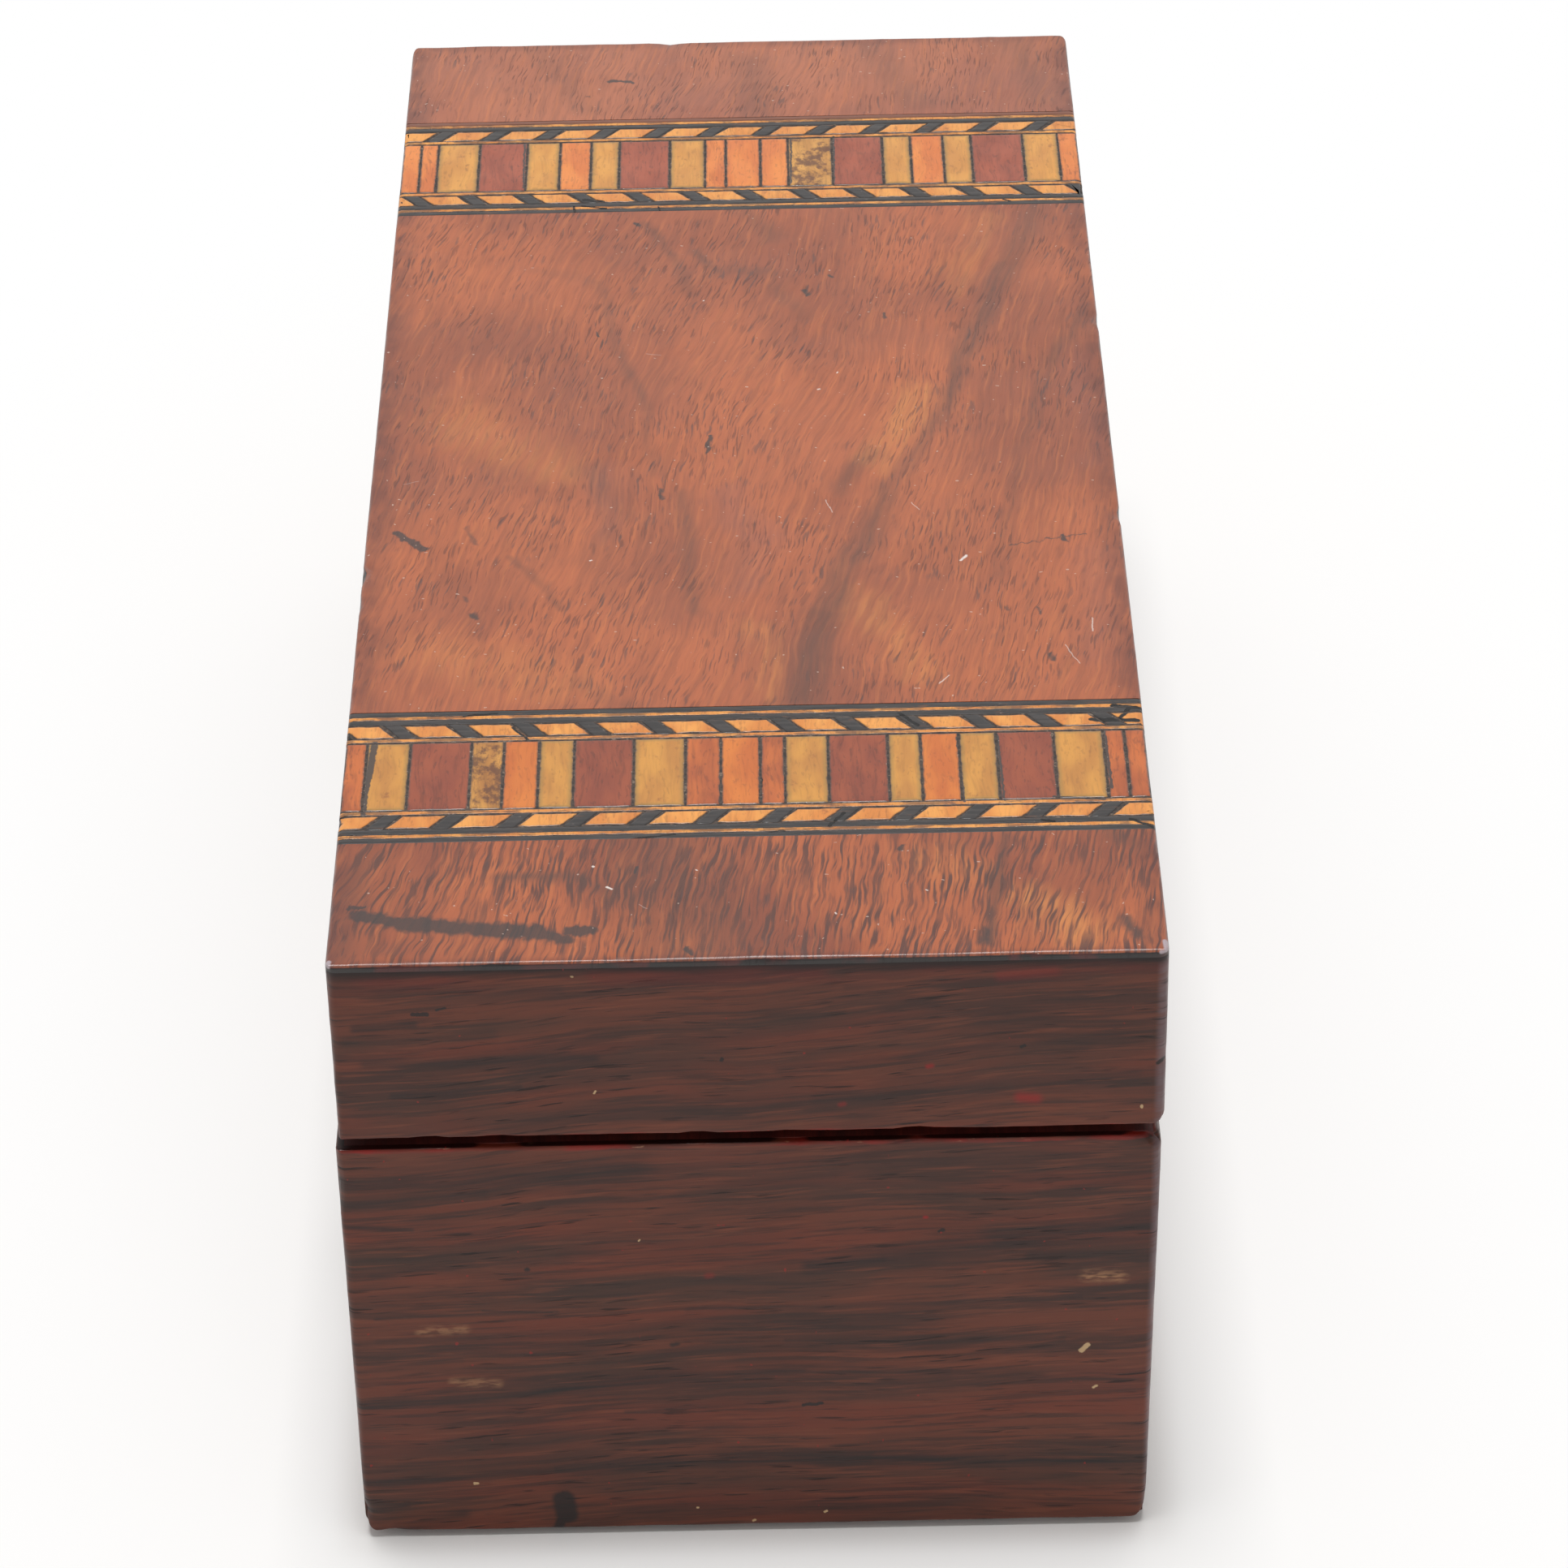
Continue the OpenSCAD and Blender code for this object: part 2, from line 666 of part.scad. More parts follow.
module keeper_recess() slab(
    [bay_w + keeper_inset, keeper_y0, lid_z - through],
    [core_w - keeper_inset, keeper_y1, lid_z + keeper_t]);

// Room above the keeper for the lock bar's head, over its whole travel
module head_mortise() slab(
    [bar_x - keeper_play, neck_y - keeper_play, lid_z],
    [bar_end_x + keeper_play, neck_y + head_l + slide_travel + keeper_play,
     head_top_z + keeper_play]);

module keeper_plate() color(brass) difference() {
    slab([bay_w + keeper_inset, keeper_y0, lid_z],
         [core_w - keeper_inset, keeper_y1, lid_z + keeper_t]);
    slab([bar_x - keeper_play, neck_y - keeper_play, lid_z - through],
         [bar_end_x + keeper_play, neck_y + head_l + keeper_play, lid_z + keeper_t + through]);
    at_keeper_screws() screw_hole(short_screw_l);
}

module keeper_screws() color(brass) at_keeper_screws() screw(short_screw_l);

// T-section slip in the underside
module slide_slip() color(pine) difference() {
    union() {
        slab([slide_x - slide_w / 2, -slide_l / 2, slide_lift],
             [slide_x + slide_w / 2, slide_l / 2, foot_z]);
        slab([slide_x - slide_w / 2 - flange_w, -slide_l / 2 - flange_w, shoulder_z],
             [slide_x + slide_w / 2 + flange_w, slide_l / 2 + flange_w, foot_z]);
    }
    at_foot_screws() screw_hole(foot_z + foot_t - slide_lift - 0.5);
}

// Foot, upright, neck and hooked head in one piece of brass
module lock_bar() color(brass) difference() {
    union() {
        slab([slide_x - slide_w / 2, -foot_half_l, foot_z], [bar_end_x, foot_half_l, foot_z + foot_t]);
        slab([bar_x, -bar_w / 2, foot_z], [bar_end_x, bar_w / 2, rim_z]);
        slab([bar_x, neck_y, rim_z], [bar_end_x, neck_y + neck_l, head_z]);
        slab([bar_x, neck_y, head_z], [bar_end_x, neck_y + head_l, head_top_z]);
    }
    at_foot_screws() screw_hole(short_screw_l);
}

module slide_screws() color(brass) at_foot_screws() screw(foot_z + foot_t - slide_lift - 0.6);

// ---------- drawing ----------

back_wall();
front_wall();
near_wall();
far_wall();
bottom_board();
back_veneer();
front_veneer();
near_veneer();
far_veneer();
back_lining();
front_lining();
near_lining();
far_lining();
floor_lining();
hinge_base_leaves();
hinge_pins();
hinge_base_screws();
bottom_brads();
lid_top_board();
lid_back_rail();
lid_front_rail();
lid_near_rail();
lid_far_rail();
lid_back_veneer();
lid_front_veneer();
lid_near_veneer();
lid_far_veneer();
top_field_near();
top_field_centre();
top_field_far();
near_band_dark_lines();
near_band_pale_lines();
near_band_dark_lozenges();
near_band_pale_lozenges();
near_band_orange_blocks();
near_band_red_blocks();
near_band_brown_blocks();
near_band_olive_blocks();
near_band_spalted_blocks();
far_band_dark_lines();
far_band_pale_lines();
far_band_dark_lozenges();
far_band_pale_lozenges();
far_band_orange_blocks();
far_band_red_blocks();
far_band_brown_blocks();
far_band_olive_blocks();
far_band_spalted_blocks();
lid_back_lining();
lid_front_lining();
lid_near_lining();
lid_far_lining();
lid_ceiling_lining();
hinge_lid_leaves();
hinge_lid_screws();
keeper_plate();
keeper_screws();
slide_slip();
lock_bar();
slide_screws();
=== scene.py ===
"""Looks of the veneered box: worn skins, wood, inlay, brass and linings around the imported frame."""

import math

import bpy
import numpy as np
from mathutils import Matrix, Vector, geometry, noise


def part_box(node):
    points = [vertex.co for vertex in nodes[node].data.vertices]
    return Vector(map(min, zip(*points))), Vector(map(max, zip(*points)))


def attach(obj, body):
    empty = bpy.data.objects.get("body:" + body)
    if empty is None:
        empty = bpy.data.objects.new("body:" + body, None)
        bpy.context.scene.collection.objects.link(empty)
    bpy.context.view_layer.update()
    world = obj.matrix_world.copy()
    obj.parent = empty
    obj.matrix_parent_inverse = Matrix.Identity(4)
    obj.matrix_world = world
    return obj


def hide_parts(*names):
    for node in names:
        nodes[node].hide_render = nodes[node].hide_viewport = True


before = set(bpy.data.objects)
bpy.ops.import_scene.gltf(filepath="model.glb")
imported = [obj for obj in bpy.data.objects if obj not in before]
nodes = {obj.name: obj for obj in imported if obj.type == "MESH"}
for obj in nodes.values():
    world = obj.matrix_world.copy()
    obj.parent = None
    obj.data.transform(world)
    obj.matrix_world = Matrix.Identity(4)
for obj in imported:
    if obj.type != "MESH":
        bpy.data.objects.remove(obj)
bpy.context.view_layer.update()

MM = 0.001


# --- sizes, all from the frame ---


def span(node):
    """Lowest and highest corner of a CAD node as arrays, in millimetres."""
    low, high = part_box(node)
    return np.array(low) / MM, np.array(high) / MM


LID_LOW = np.minimum(span("lid_near_veneer")[0], span("lid_back_veneer")[0])
LID_HIGH = np.maximum(span("top_field_far")[1], span("lid_front_veneer")[1])
BASE_LOW = np.minimum(span("near_veneer")[0], span("back_veneer")[0])
BASE_HIGH = np.maximum(span("far_veneer")[1], span("front_veneer")[1])
TOP_Z = LID_HIGH[2]
SEAM_Z = (LID_LOW[2] + BASE_HIGH[2]) / 2
HALF_SEAM = (LID_LOW[2] - BASE_HIGH[2]) / 2


# --- colours ---


def srgb(color, share=1):
    """Colour of three 0 to 255 values as linear RGBA, at a share of its light."""
    channels = []
    for value in color:
        v = value / 255
        linear = v / 12.92 if v <= 0.04045 else ((v + 0.055) / 1.055) ** 2.4
        channels.append(share * linear)
    return (*channels, 1)


# --- node helpers ---


class Graph:
    """Short calls that build a material's or the world's nodes. Places are in millimetres."""

    def __init__(self, name, world=None):
        self.material = world or bpy.data.materials.new(name)
        self.material.use_nodes = True
        self.tree = self.material.node_tree
        self.tree.nodes.clear()
        self.output = self.node("ShaderNodeOutputWorld" if world else "ShaderNodeOutputMaterial")
        self.coords = self.node("ShaderNodeTexCoord").outputs
        self.place = self.scaled(self.coords["Object"], (1 / MM, 1 / MM, 1 / MM))
        self.x, self.y, self.z = self.split(self.place)

    def node(self, kind, inputs=None, **settings):
        made = self.tree.nodes.new(kind)
        for key, value in settings.items():
            setattr(made, key, value)
        for key, value in (inputs or {}).items():
            self.put(made.inputs[key], value)
        return made

    def put(self, socket, value):
        if isinstance(value, bpy.types.NodeSocket):
            self.tree.links.new(value, socket)
        else:
            socket.default_value = value

    def math(self, operation, a, *others):
        for b in others:
            a = self.node("ShaderNodeMath", {0: a, 1: b}, operation=operation).outputs[0]
        return a

    def add(self, *values):
        return self.math("ADD", *values)

    def times(self, *values):
        return self.math("MULTIPLY", *values)

    def larger(self, *values):
        return self.math("MAXIMUM", *values)

    def distance_from(self, value, centre, half):
        """How far the value lies beyond half to either side of the centre."""
        return self.add(self.math("ABSOLUTE", self.add(value, -centre), 0), -half)

    def vector(self, operation, a, b=(0, 0, 0)):
        made = self.node("ShaderNodeVectorMath", {0: a, 1: b}, operation=operation)
        return made.outputs["Value" if operation in ("DOT_PRODUCT", "LENGTH") else "Vector"]

    def scaled(self, a, factors):
        return self.vector("MULTIPLY", a, factors)

    def shifted(self, a, by):
        return self.vector("ADD", a, by)

    def split(self, a):
        return tuple(self.node("ShaderNodeSeparateXYZ", {0: a}).outputs)

    def join(self, x, y, z):
        return self.node("ShaderNodeCombineXYZ", {0: x, 1: y, 2: z}).outputs[0]

    def noise(self, where, cell, detail=2, rough=0.5):
        """Noise from 0 to 1 whose features measure cell millimetres along each axis."""
        place = self.scaled(where, tuple(1 / c for c in cell))
        inputs = {"Vector": place, "Scale": 1, "Detail": detail, "Roughness": rough}
        return self.node("ShaderNodeTexNoise", inputs).outputs["Fac"]

    def sway(self, where, cell, reach, detail=1):
        """Noise about 0 that reaches about reach millimetres either way."""
        return self.times(self.add(self.noise(where, cell, detail), -0.5), 4 * reach)

    def ragged(self, where, cell, reach):
        """The place moved by fine noise in X and Y, so that marks drawn with it are uneven."""
        by_x = self.sway(where, cell, reach[0], 3)
        by_y = self.sway(self.shifted(where, (31, 17, 5)), cell, reach[1], 3)
        return self.shifted(where, self.join(by_x, by_y, 0))

    def step(self, value, low, high, out_low=0, out_high=1):
        """Smooth step from out_low to out_high while value goes from low to high."""
        inputs = dict(enumerate((value, low, high, out_low, out_high)))
        made = self.node("ShaderNodeMapRange", inputs, interpolation_type="SMOOTHSTEP")
        return made.outputs["Result"]

    def mix(self, amount, a, b):
        """Mixes sockets or colours, which are linear RGBA or three 0 to 255 values."""
        made = self.node("ShaderNodeMix", {"Factor": amount}, data_type="RGBA")
        for key, value in ((6, a), (7, b)):
            written = isinstance(value, tuple) and len(value) == 3
            self.put(made.inputs[key], srgb(value) if written else value)
        return made.outputs[2]

    def over(self, color, shade, value, low, high, amount=1):
        """Lays amount of a shade over the colour while value goes from low to high."""
        return self.mix(self.step(value, low, high, 0, amount), color, shade)

    def shader(self, kind, color, strength):
        """Output of an emission or a background shader."""
        return self.node(kind, {"Color": color, "Strength": strength}).outputs[0]

    def blend(self, amount, a, b):
        """Sends a mix of two shaders to the output."""
        mixed = self.node("ShaderNodeMixShader", {0: amount, 1: a, 2: b})
        self.put(self.output.inputs["Surface"], mixed.outputs[0])

    def stroke(self, where, start, end, width, strength):
        """Soft mark along the line from start to end, fading over width from its middle."""
        start, end = Vector(start), Vector(end)
        line = end - start
        offset = self.vector("SUBTRACT", where, tuple(start))
        along = self.vector("DOT_PRODUCT", offset, tuple(line / line.length_squared))
        along = self.math("MINIMUM", self.larger(along, 0), 1)
        nearest = self.scaled(self.join(along, along, along), tuple(line))
        distance = self.vector("LENGTH", self.vector("SUBTRACT", offset, nearest))
        return self.times(self.step(distance, width, 0), strength)

    def strokes(self, where, marks, upright=False):
        """Marks from a table, in X and Y, or in X and Z where upright is set."""
        flat = self.scaled(where, (1, 0, 1) if upright else (1, 1, 0))
        drawn = []
        for a, b, *legs in marks:
            start = (a, 0, b) if upright else (a, b, 0)
            for i in range(0, len(legs), 4):
                a, b, width, strength = legs[i:i + 4]
                end = (a, 0, b) if upright else (a, b, 0)
                drawn.append(self.stroke(flat, start, end, width, strength))
                start = end
        return self.larger(*drawn)

    def finish(self, color, roughness, height=None, bump_mm=0.05, **constants):
        """Principled surface. Constants are set on its own sockets."""
        shader = self.node("ShaderNodeBsdfPrincipled", {"Base Color": color, "Roughness": roughness})
        for key, value in constants.items():
            shader.inputs[key.replace("_", " ").title().replace("Ior", "IOR")].default_value = value
        if height is not None:
            inputs = {"Height": height, "Distance": bump_mm * MM, "Strength": 1}
            bump = self.node("ShaderNodeBump", inputs)
            self.put(shader.inputs["Normal"], bump.outputs["Normal"])
        self.put(self.output.inputs["Surface"], shader.outputs[0])
        return self.material


TOP_POLISH = {"coat_weight": 0.3, "coat_roughness": 0.25, "coat_ior": 1.5, "specular_ior_level": 0.5}
SIDE_POLISH = {"coat_weight": 0.15, "coat_roughness": 0.25, "coat_ior": 1.5, "specular_ior_level": 0.25}


# --- the top's edge ---

# Pale tips of the lid's near corners, partly rubbed wood and partly painted highlight: start, end (x,
# y, z), width in mm and strength
CORNER_WEAR_AND_HIGHLIGHTS = [
    ((-48.6, -114.7, 90), (-48.5, -114.2, 90.1), 0.7, 0.8),
    ((49.3, -114.8, 90), (49.2, -113.2, 90.1), 0.75, 0.8),
    ((48.6, -114.9, 89.9), (49.2, -114.9, 89.9), 0.5, 0.7),
]


def top_edge(g, color):
    """Dark edge of the top veneer, with a painted highlight as a pale line where the top turns over,
    and pale corner tips that are partly rubbed wood and partly painted highlight.
    """
    depth = g.add(g.times(g.z, -1), TOP_Z)
    patchy = g.noise(g.place, (2.4, 2.4, 2.4), 4, 0.6)
    # Painted highlight: a pale line along the arris, just below the top, broken up by patchy noise
    line = g.times(g.step(depth, 0.09, 0.13), g.step(depth, 0.28, 0.19))
    color = g.mix(g.times(line, g.step(patchy, 0.38, 0.66, 0, 0.4)), color, (132, 104, 98))
    tint = g.over((22, 11, 11), (72, 16, 12), g.noise(g.place, (6, 6, 6), 3), 0.48, 0.62)
    color = g.over(color, tint, depth, 0.24, 0.36)
    # Pale corner tips: partly rubbed wood, partly painted highlight
    tips = g.larger(*[g.stroke(g.place, *tip) for tip in CORNER_WEAR_AND_HIGHLIGHTS])
    return g.mix(g.times(g.step(tips, 0.15, 0.6), g.step(patchy, 0.3, 0.55, 0.5, 1)), color,
                 (172, 156, 162))


# --- walnut of the top fields ---

# Rows of marks: x and y of the start, then each leg's end x and y, width in mm and strength.
# Soft dark figure of the centre field:
CENTRE_FIGURE = [
    (43, 63, 38, 46, 3.6, 0.6, 33, 30, 3.4, 0.75, 30, 16, 2.8, 0.8, 26, 4, 2.2, 0.8, 20, -12, 2.4, 0.6,
     15, -28, 2.8, 0.65, 10, -42, 3.4, 0.8, 8, -62, 4.6, 0.9),
    (49, 34, 43, 20, 2.4, 0.55, 37, -4, 2, 0.35, 33, -34, 2, 0.28), (18, -4, 13, -13, 3.2, 0.5),
    (-20, 42, -16, 24, 1.8, 0.4, -13, 8, 1.6, 0.5, -11, -8, 1.6, 0.35), (-28, 48, -20, 42, 2.4, 0.25),
    (-13, 61, -9, 50, 1.6, 0.6, -7.5, 39, 1.6, 0.45), (-6, 51, -3, 44, 1.5, 0.6, 4, 45, 3, 0.45),
    (2, 61, 5, 55, 3, 0.55), (5, 40, 9, 32, 2.6, 0.35),
    (-20, -6, -17, -18, 3.6, 0.4, -20, -30, 3.2, 0.3), (-8, -14, -6, -42, 2.2, 0.5),
    (-30, -27, -23, -39, 1.2, 0.5), (-20, -58, -14, -63, 3, 0.3),
]
# Grey bloom under the polish
CENTRE_BLOOM = [
    (-2, -14, 3, -25, 5, 0.6, 0, -36, 4.5, 0.5), (-18, -8, -18, -22, 4, 0.4),
    (46, -30, 45, -52, 5, 0.5), (46, 20, 47, -6, 4, 0.45),
]
# Golden glow
CENTRE_GOLD = [
    (18, -6, 24, 12, 5, 0.75), (15, -40, 22, -56, 6, 0.55), (2, -46, 4, -62, 4, 0.45),
    (30, 40, 35, 60, 4, 0.35), (-40, -50, -22, -58, 8, 0.35), (-38, 8, -26, -6, 9, 0.45),
]
# Small dark marks and scratches
CENTRE_MARKS = [
    (-44.8, -21.6, -41.2, -25.6, 1, 1), (-35.8, -20.6, -34.6, -24.4, 0.9, 0.4),
    (-34.4, -40.8, -34, -42.2, 0.9, 0.6), (-35.4, -37.2, -35.2, -37.8, 0.7, 0.45),
    (-3.9, 1.4, -4.5, -3.2, 0.5, 0.9), (9.2, 39.4, 9.6, 38.2, 0.8, 0.8),
    (12.8, 43.6, 13, 43.2, 0.6, 0.7), (20, 33, 20.2, 31.6, 0.5, 0.6),
    (-19.6, 29.2, -19.4, 28, 0.4, 0.8), (-14.6, 59.6, -14.2, 59, 0.6, 0.8),
    (38.8, -52.6, 39, -53.8, 0.8, 0.6), (33.8, -41.8, 34.2, -42.4, 0.6, 0.45),
    (37.8, -42, 38, -43.2, 0.5, 0.5), (35, -27.2, 45, -24.6, 0.3, 0.5),
    (41.6, -25.2, 42.2, -26.2, 0.6, 0.8), (-10.6, -12, -10.2, -14.6, 0.6, 0.7),
]
# Hairs and specks of lint
CENTRE_LINT = [
    (28.4, -30.6, 29.1, -29.5, 0.42, 1), (10.6, 12.7, 10.8, 12.8, 0.3, 1),
    (-19.5, -29, -19.3, -28.9, 0.3, 0.9), (-5, 37.2, -4.9, 37.3, 0.26, 0.9),
    (13.3, 17, 13.4, 17.2, 0.26, 0.8), (11.2, -15.4, 12, -18.4, 0.2, 0.6),
    (22.4, -16.4, 23.4, -18.2, 0.2, 0.6), (44.6, -44.6, 44.4, -47.6, 0.22, 0.7),
    (40.8, -50.6, 41.6, -53, 0.22, 0.6, 42.4, -54.8, 0.22, 0.6), (24.6, -58.8, 26, -57, 0.22, 0.7),
    (-12.8, 23, -10.8, 22.6, 0.2, 0.5), (-44.6, -9.6, -42.6, -8.8, 0.2, 0.5),
]

NEAR_FIGURE = [
    (-9, -96, -5, -113, 13, 0.5), (-46, -95, -47, -112, 4, 0.5),
    (31.6, -91, 29.6, -101, 1.3, 0.8, 28.5, -112, 1.5, 0.9),
    (-29, -98, -20, -99.5, 2.2, 0.95, -13, -102, 3, 0.55), (44, -92, 48, -96, 2.5, 0.5),
]
NEAR_GOLD = [
    (34, -104, 40, -110, 6, 0.9), (22, -95, 27, -100, 5, 0.4),
]
NEAR_MARKS = [
    (-45.4, -105.2, -40, -107, 1.9, 1, -32, -108.2, 2.5, 1, -24.5, -109.2, 2.5, 1, -21, -110.6, 2, 0.9),
    (-20.4, -109.2, -18.2, -108.8, 1.6, 1), (-46.6, -103.8, -45, -103.3, 0.55, 0.9),
    (28.4, -110.5, 28.1, -112.4, 1.6, 0.55), (44.8, -108.5, 46, -112, 1.8, 0.55),
    (19.2, -93, 18.9, -94, 0.7, 0.8), (-6.6, -113.2, -6.3, -113.8, 0.7, 0.8),
    (-12.9, -96.8, -12.8, -97.3, 0.4, 1),
]
NEAR_LINT = [
    (-16.2, -100.4, -15.7, -100.8, 0.4, 1), (-18, -96.2, -17.9, -96.3, 0.3, 0.9),
    (-5.6, -97.2, -5.5, -97.3, 0.26, 0.8), (10.8, -106.4, 10.9, -106.6, 0.26, 0.8),
    (21.6, -102.2, 21.7, -102.3, 0.26, 0.8), (-12.4, -104, -11.4, -104.8, 0.2, 0.5),
]

FAR_FIGURE = [
    (2, 108, 3, 92, 5, 0.4), (20, 113, 27, 94, 5, 0.4), (-30, 113, -22, 94, 4, 0.3),
    (42, 112, 46, 94, 5, 0.4),
]
FAR_MARKS = [
    (-18.9, 102.8, -15.8, 102.3, 0.8, 0.9), (-22.5, 98, -22, 97.6, 0.5, 0.5),
]


def figured_walnut(name, seed, light, shade, lean, streaks, figure, bloom, gold, marks, lint):
    """Polished walnut with its grain along Y. Streaks is how strongly it is striped."""
    g = Graph(name)
    apart = g.shifted(g.place, (seed, seed, seed))
    bend = g.add(g.sway(apart, (34, 60, 40), 2.4), g.sway(apart, (13, 17, 20), 0.55),
                 g.sway(apart, (3.2, 4.2, 9), 0.16 + 0.1 * streaks))
    across = g.add(g.x, bend, g.times(g.y, -lean))
    grain = g.join(across, g.y, g.add(g.z, seed))

    # Soft change of tone, then silky fibres and, where the wood is striped, dark streaks
    tone = g.noise(apart, (22, 34, 30), 3)
    color = g.over(light, shade, tone, 0.36, 0.64)
    silk = g.noise(grain, (0.9, 20, 9), 3, 0.6)
    color = g.over(color, srgb(shade, 0.55), silk, 0.4, 0.68, 0.3)
    silk = g.noise(g.shifted(grain, (9, 0, 0)), (0.6, 13, 9))
    color = g.over(color, (208, 118, 60), silk, 0.5, 0.72, 0.3)
    if gold:
        glow = g.strokes(g.ragged(g.place, (9, 14, 20), (2, 3)), gold)
        lines = g.step(g.noise(grain, (0.9, 14, 9)), 0.4, 0.62, 0.35, 1)
        color = g.mix(g.times(glow, lines, 0.75), color, (214, 136, 68))
    stripe = g.noise(grain, (0.46, 6.5, 9), 2, 0.5)
    place = g.noise(g.shifted(apart, (7, 3, 0)), (11, 9, 20))
    striped = g.times(g.step(stripe, 0.47, 0.62), g.step(place, 0.3, 0.6, 0.45, 1))
    color = g.mix(g.times(striped, streaks), color, (86, 48, 38))
    darker = g.strokes(g.ragged(g.place, (9, 14, 20), (0.9, 2.2)), figure)
    lines = g.step(g.noise(grain, (0.9, 14, 9), 3), 0.34, 0.62, 0.62, 1)
    color = g.mix(g.times(darker, lines, 0.82), color, (84, 53, 42))
    if bloom:
        cloud = g.strokes(g.ragged(g.place, (6, 9, 20), (1.6, 2.4)), bloom)
        color = g.mix(g.times(cloud, 0.3), color, (112, 78, 84))

    # Pores: short dark dashes, crowded in places, and a few broader grey ones
    crowd = g.step(g.noise(g.shifted(apart, (0, 40, 0)), (9, 13, 20)), 0.36, 0.62, 0.12, 1)
    pores = g.noise(grain, (0.3, 3.4, 6), 1.5, 0.45)
    opened = g.times(g.step(pores, 0.56, 0.66), crowd)
    color = g.mix(g.times(opened, 0.55), color, (80, 46, 40))
    broad = g.noise(g.shifted(grain, (0, 50, 0)), (0.55, 4.6, 9))
    color = g.mix(g.times(g.step(broad, 0.6, 0.7), crowd, 0.6), color, (74, 52, 50))

    uneven = g.ragged(g.place, (1.1, 1.6, 9), (0.3, 0.55))
    combed = g.step(g.noise(grain, (0.9, 6, 9)), 0.3, 0.52, 0.72, 1)
    stain = g.times(g.strokes(uneven, marks), combed)
    color = g.mix(g.times(g.step(stain, 0.06, 0.66), 0.88), color, (56, 45, 43))

    # Dirt gathered by the lid's edges
    left, near = LID_LOW[:2]
    right, far = LID_HIGH[:2]
    near_edge = g.larger(
        g.step(g.x, left + 4.5, left + 0.6), g.step(g.x, right - 4.5, right - 0.6),
        g.step(g.y, near + 1.4, near + 0.4, 0, 0.7), g.step(g.y, far - 3, far - 0.6, 0, 0.8))
    grime = g.step(g.noise(g.place, (3, 5, 3), 3), 0.3, 0.65, 0.35, 1)
    color = g.mix(g.times(near_edge, grime, 0.55), color, (80, 34, 30))
    if lint:
        hairs = g.strokes(g.ragged(g.place, (0.9, 0.9, 2), (0.12, 0.12)), lint)
        color = g.over(color, (226, 212, 204), hairs, 0.25, 0.95)
    dust = g.noise(g.place, (0.5, 0.5, 0.5), 0)
    color = g.over(color, (208, 180, 164), dust, 0.85, 0.875, 0.6)
    color = top_edge(g, color)

    wear = g.noise(g.place, (13, 11, 12), 4, 0.6)
    rough = g.add(g.step(wear, 0.25, 0.75, 0.34, 0.48), g.times(opened, 0.15))
    height = g.add(g.times(silk, 0.2), g.times(opened, -0.8),
                   g.times(g.noise(g.place, (7, 10, 9)), 0.7))
    return g.finish(color, rough, height, 0.03, **TOP_POLISH)


# --- dark striped veneer of the sides and ends ---

# Streaks of the near end, as above with z in place of y
NEAR_STREAKS = [
    (-50, 9.2, -25, 10.8, 1.3, 0.75, -8, 12, 1.4, 0.95, 14, 11.8, 1.6, 0.95, 50, 10.3, 1, 1),
    (-50, 21.8, -40, 22.3, 1.3, 0.8, -28, 23.4, 1.2, 0.9, -12, 25.8, 1.2, 0.9, 6, 26.3, 1.2, 0.85, 24,
     26, 0.9, 0.7, 49, 23.4, 0.7, 0.35), (-16, 20.4, 4, 21.4, 0.6, 0.55),
    (-50, 57.5, -14, 59, 4.2, 0.6), (-50, 54.2, -32, 55.5, 1.4, 0.6), (-49.5, 51, -41, 50, 0.7, 0.9),
    (-8, 55, 10, 57.5, 2.2, 0.45), (7, 43.3, 16, 44.2, 1.7, 0.85, 33, 46.6, 2.2, 0.65),
    (30, 47.2, 49, 48.2, 3.8, 0.9), (34, 44.4, 49, 44, 1.8, 0.7), (-46, 36.2, -24, 36.8, 0.6, 0.55),
    (-33, 37.1, -24.5, 36.7, 0.28, 1), (-46, 32.4, -20, 33.6, 0.8, 0.35),
    (-8, 36.4, 40, 37.4, 0.7, 0.45), (4, 31.2, 38, 30.6, 0.6, 0.45), (-49, 27.4, -36, 29, 0.8, 0.55),
    (-46, 43, -34, 45, 0.9, 0.45), (-45, 1.6, -37, 3.6, 1.6, 0.65), (-50, 4, -44, 5.4, 0.8, 0.4),
    (-46, 81, -39, 81.2, 0.9, 0.75), (-47, 78.8, -30, 79.8, 1.6, 0.55), (-45, 75.6, -18, 76, 1.2, 0.65),
    (-42, 70.6, -27, 71.6, 0.8, 0.8), (-48, 86.6, -22, 86.2, 1.5, 0.4),
    (4, 73.4, 26, 76, 1.4, 0.55, 49, 78.2, 1.4, 0.6), (8, 68.4, 46, 72, 1.2, 0.4),
    (12, 85.6, 40, 87, 1, 0.35),
]
# Black spots and the dark knot by the foot
NEAR_KNOTS = [
    (-24.3, 5.9, -24, 3.2, 2.3, 1), (-24.6, 2.6, -25.2, 1, 1.2, 0.8), (6, 20.9, 8.2, 21, 0.45, 1),
    (-39, 82.9, -37.4, 82.9, 0.5, 1), (-36.2, 83.4, -35.2, 83.7, 0.3, 0.9),
    (-3, 75.2, -2.9, 75.4, 0.4, 0.9), (22.8, 48.4, 23.2, 48.5, 0.5, 0.8),
    (32.4, 76.4, 32.8, 76.6, 0.35, 0.9), (48.6, 73.6, 49.2, 73.9, 0.5, 0.8),
    (-27.4, 43.5, -27.2, 43.5, 0.6, 0.6), (-10, 31, -9.4, 31.2, 0.8, 0.5),
]
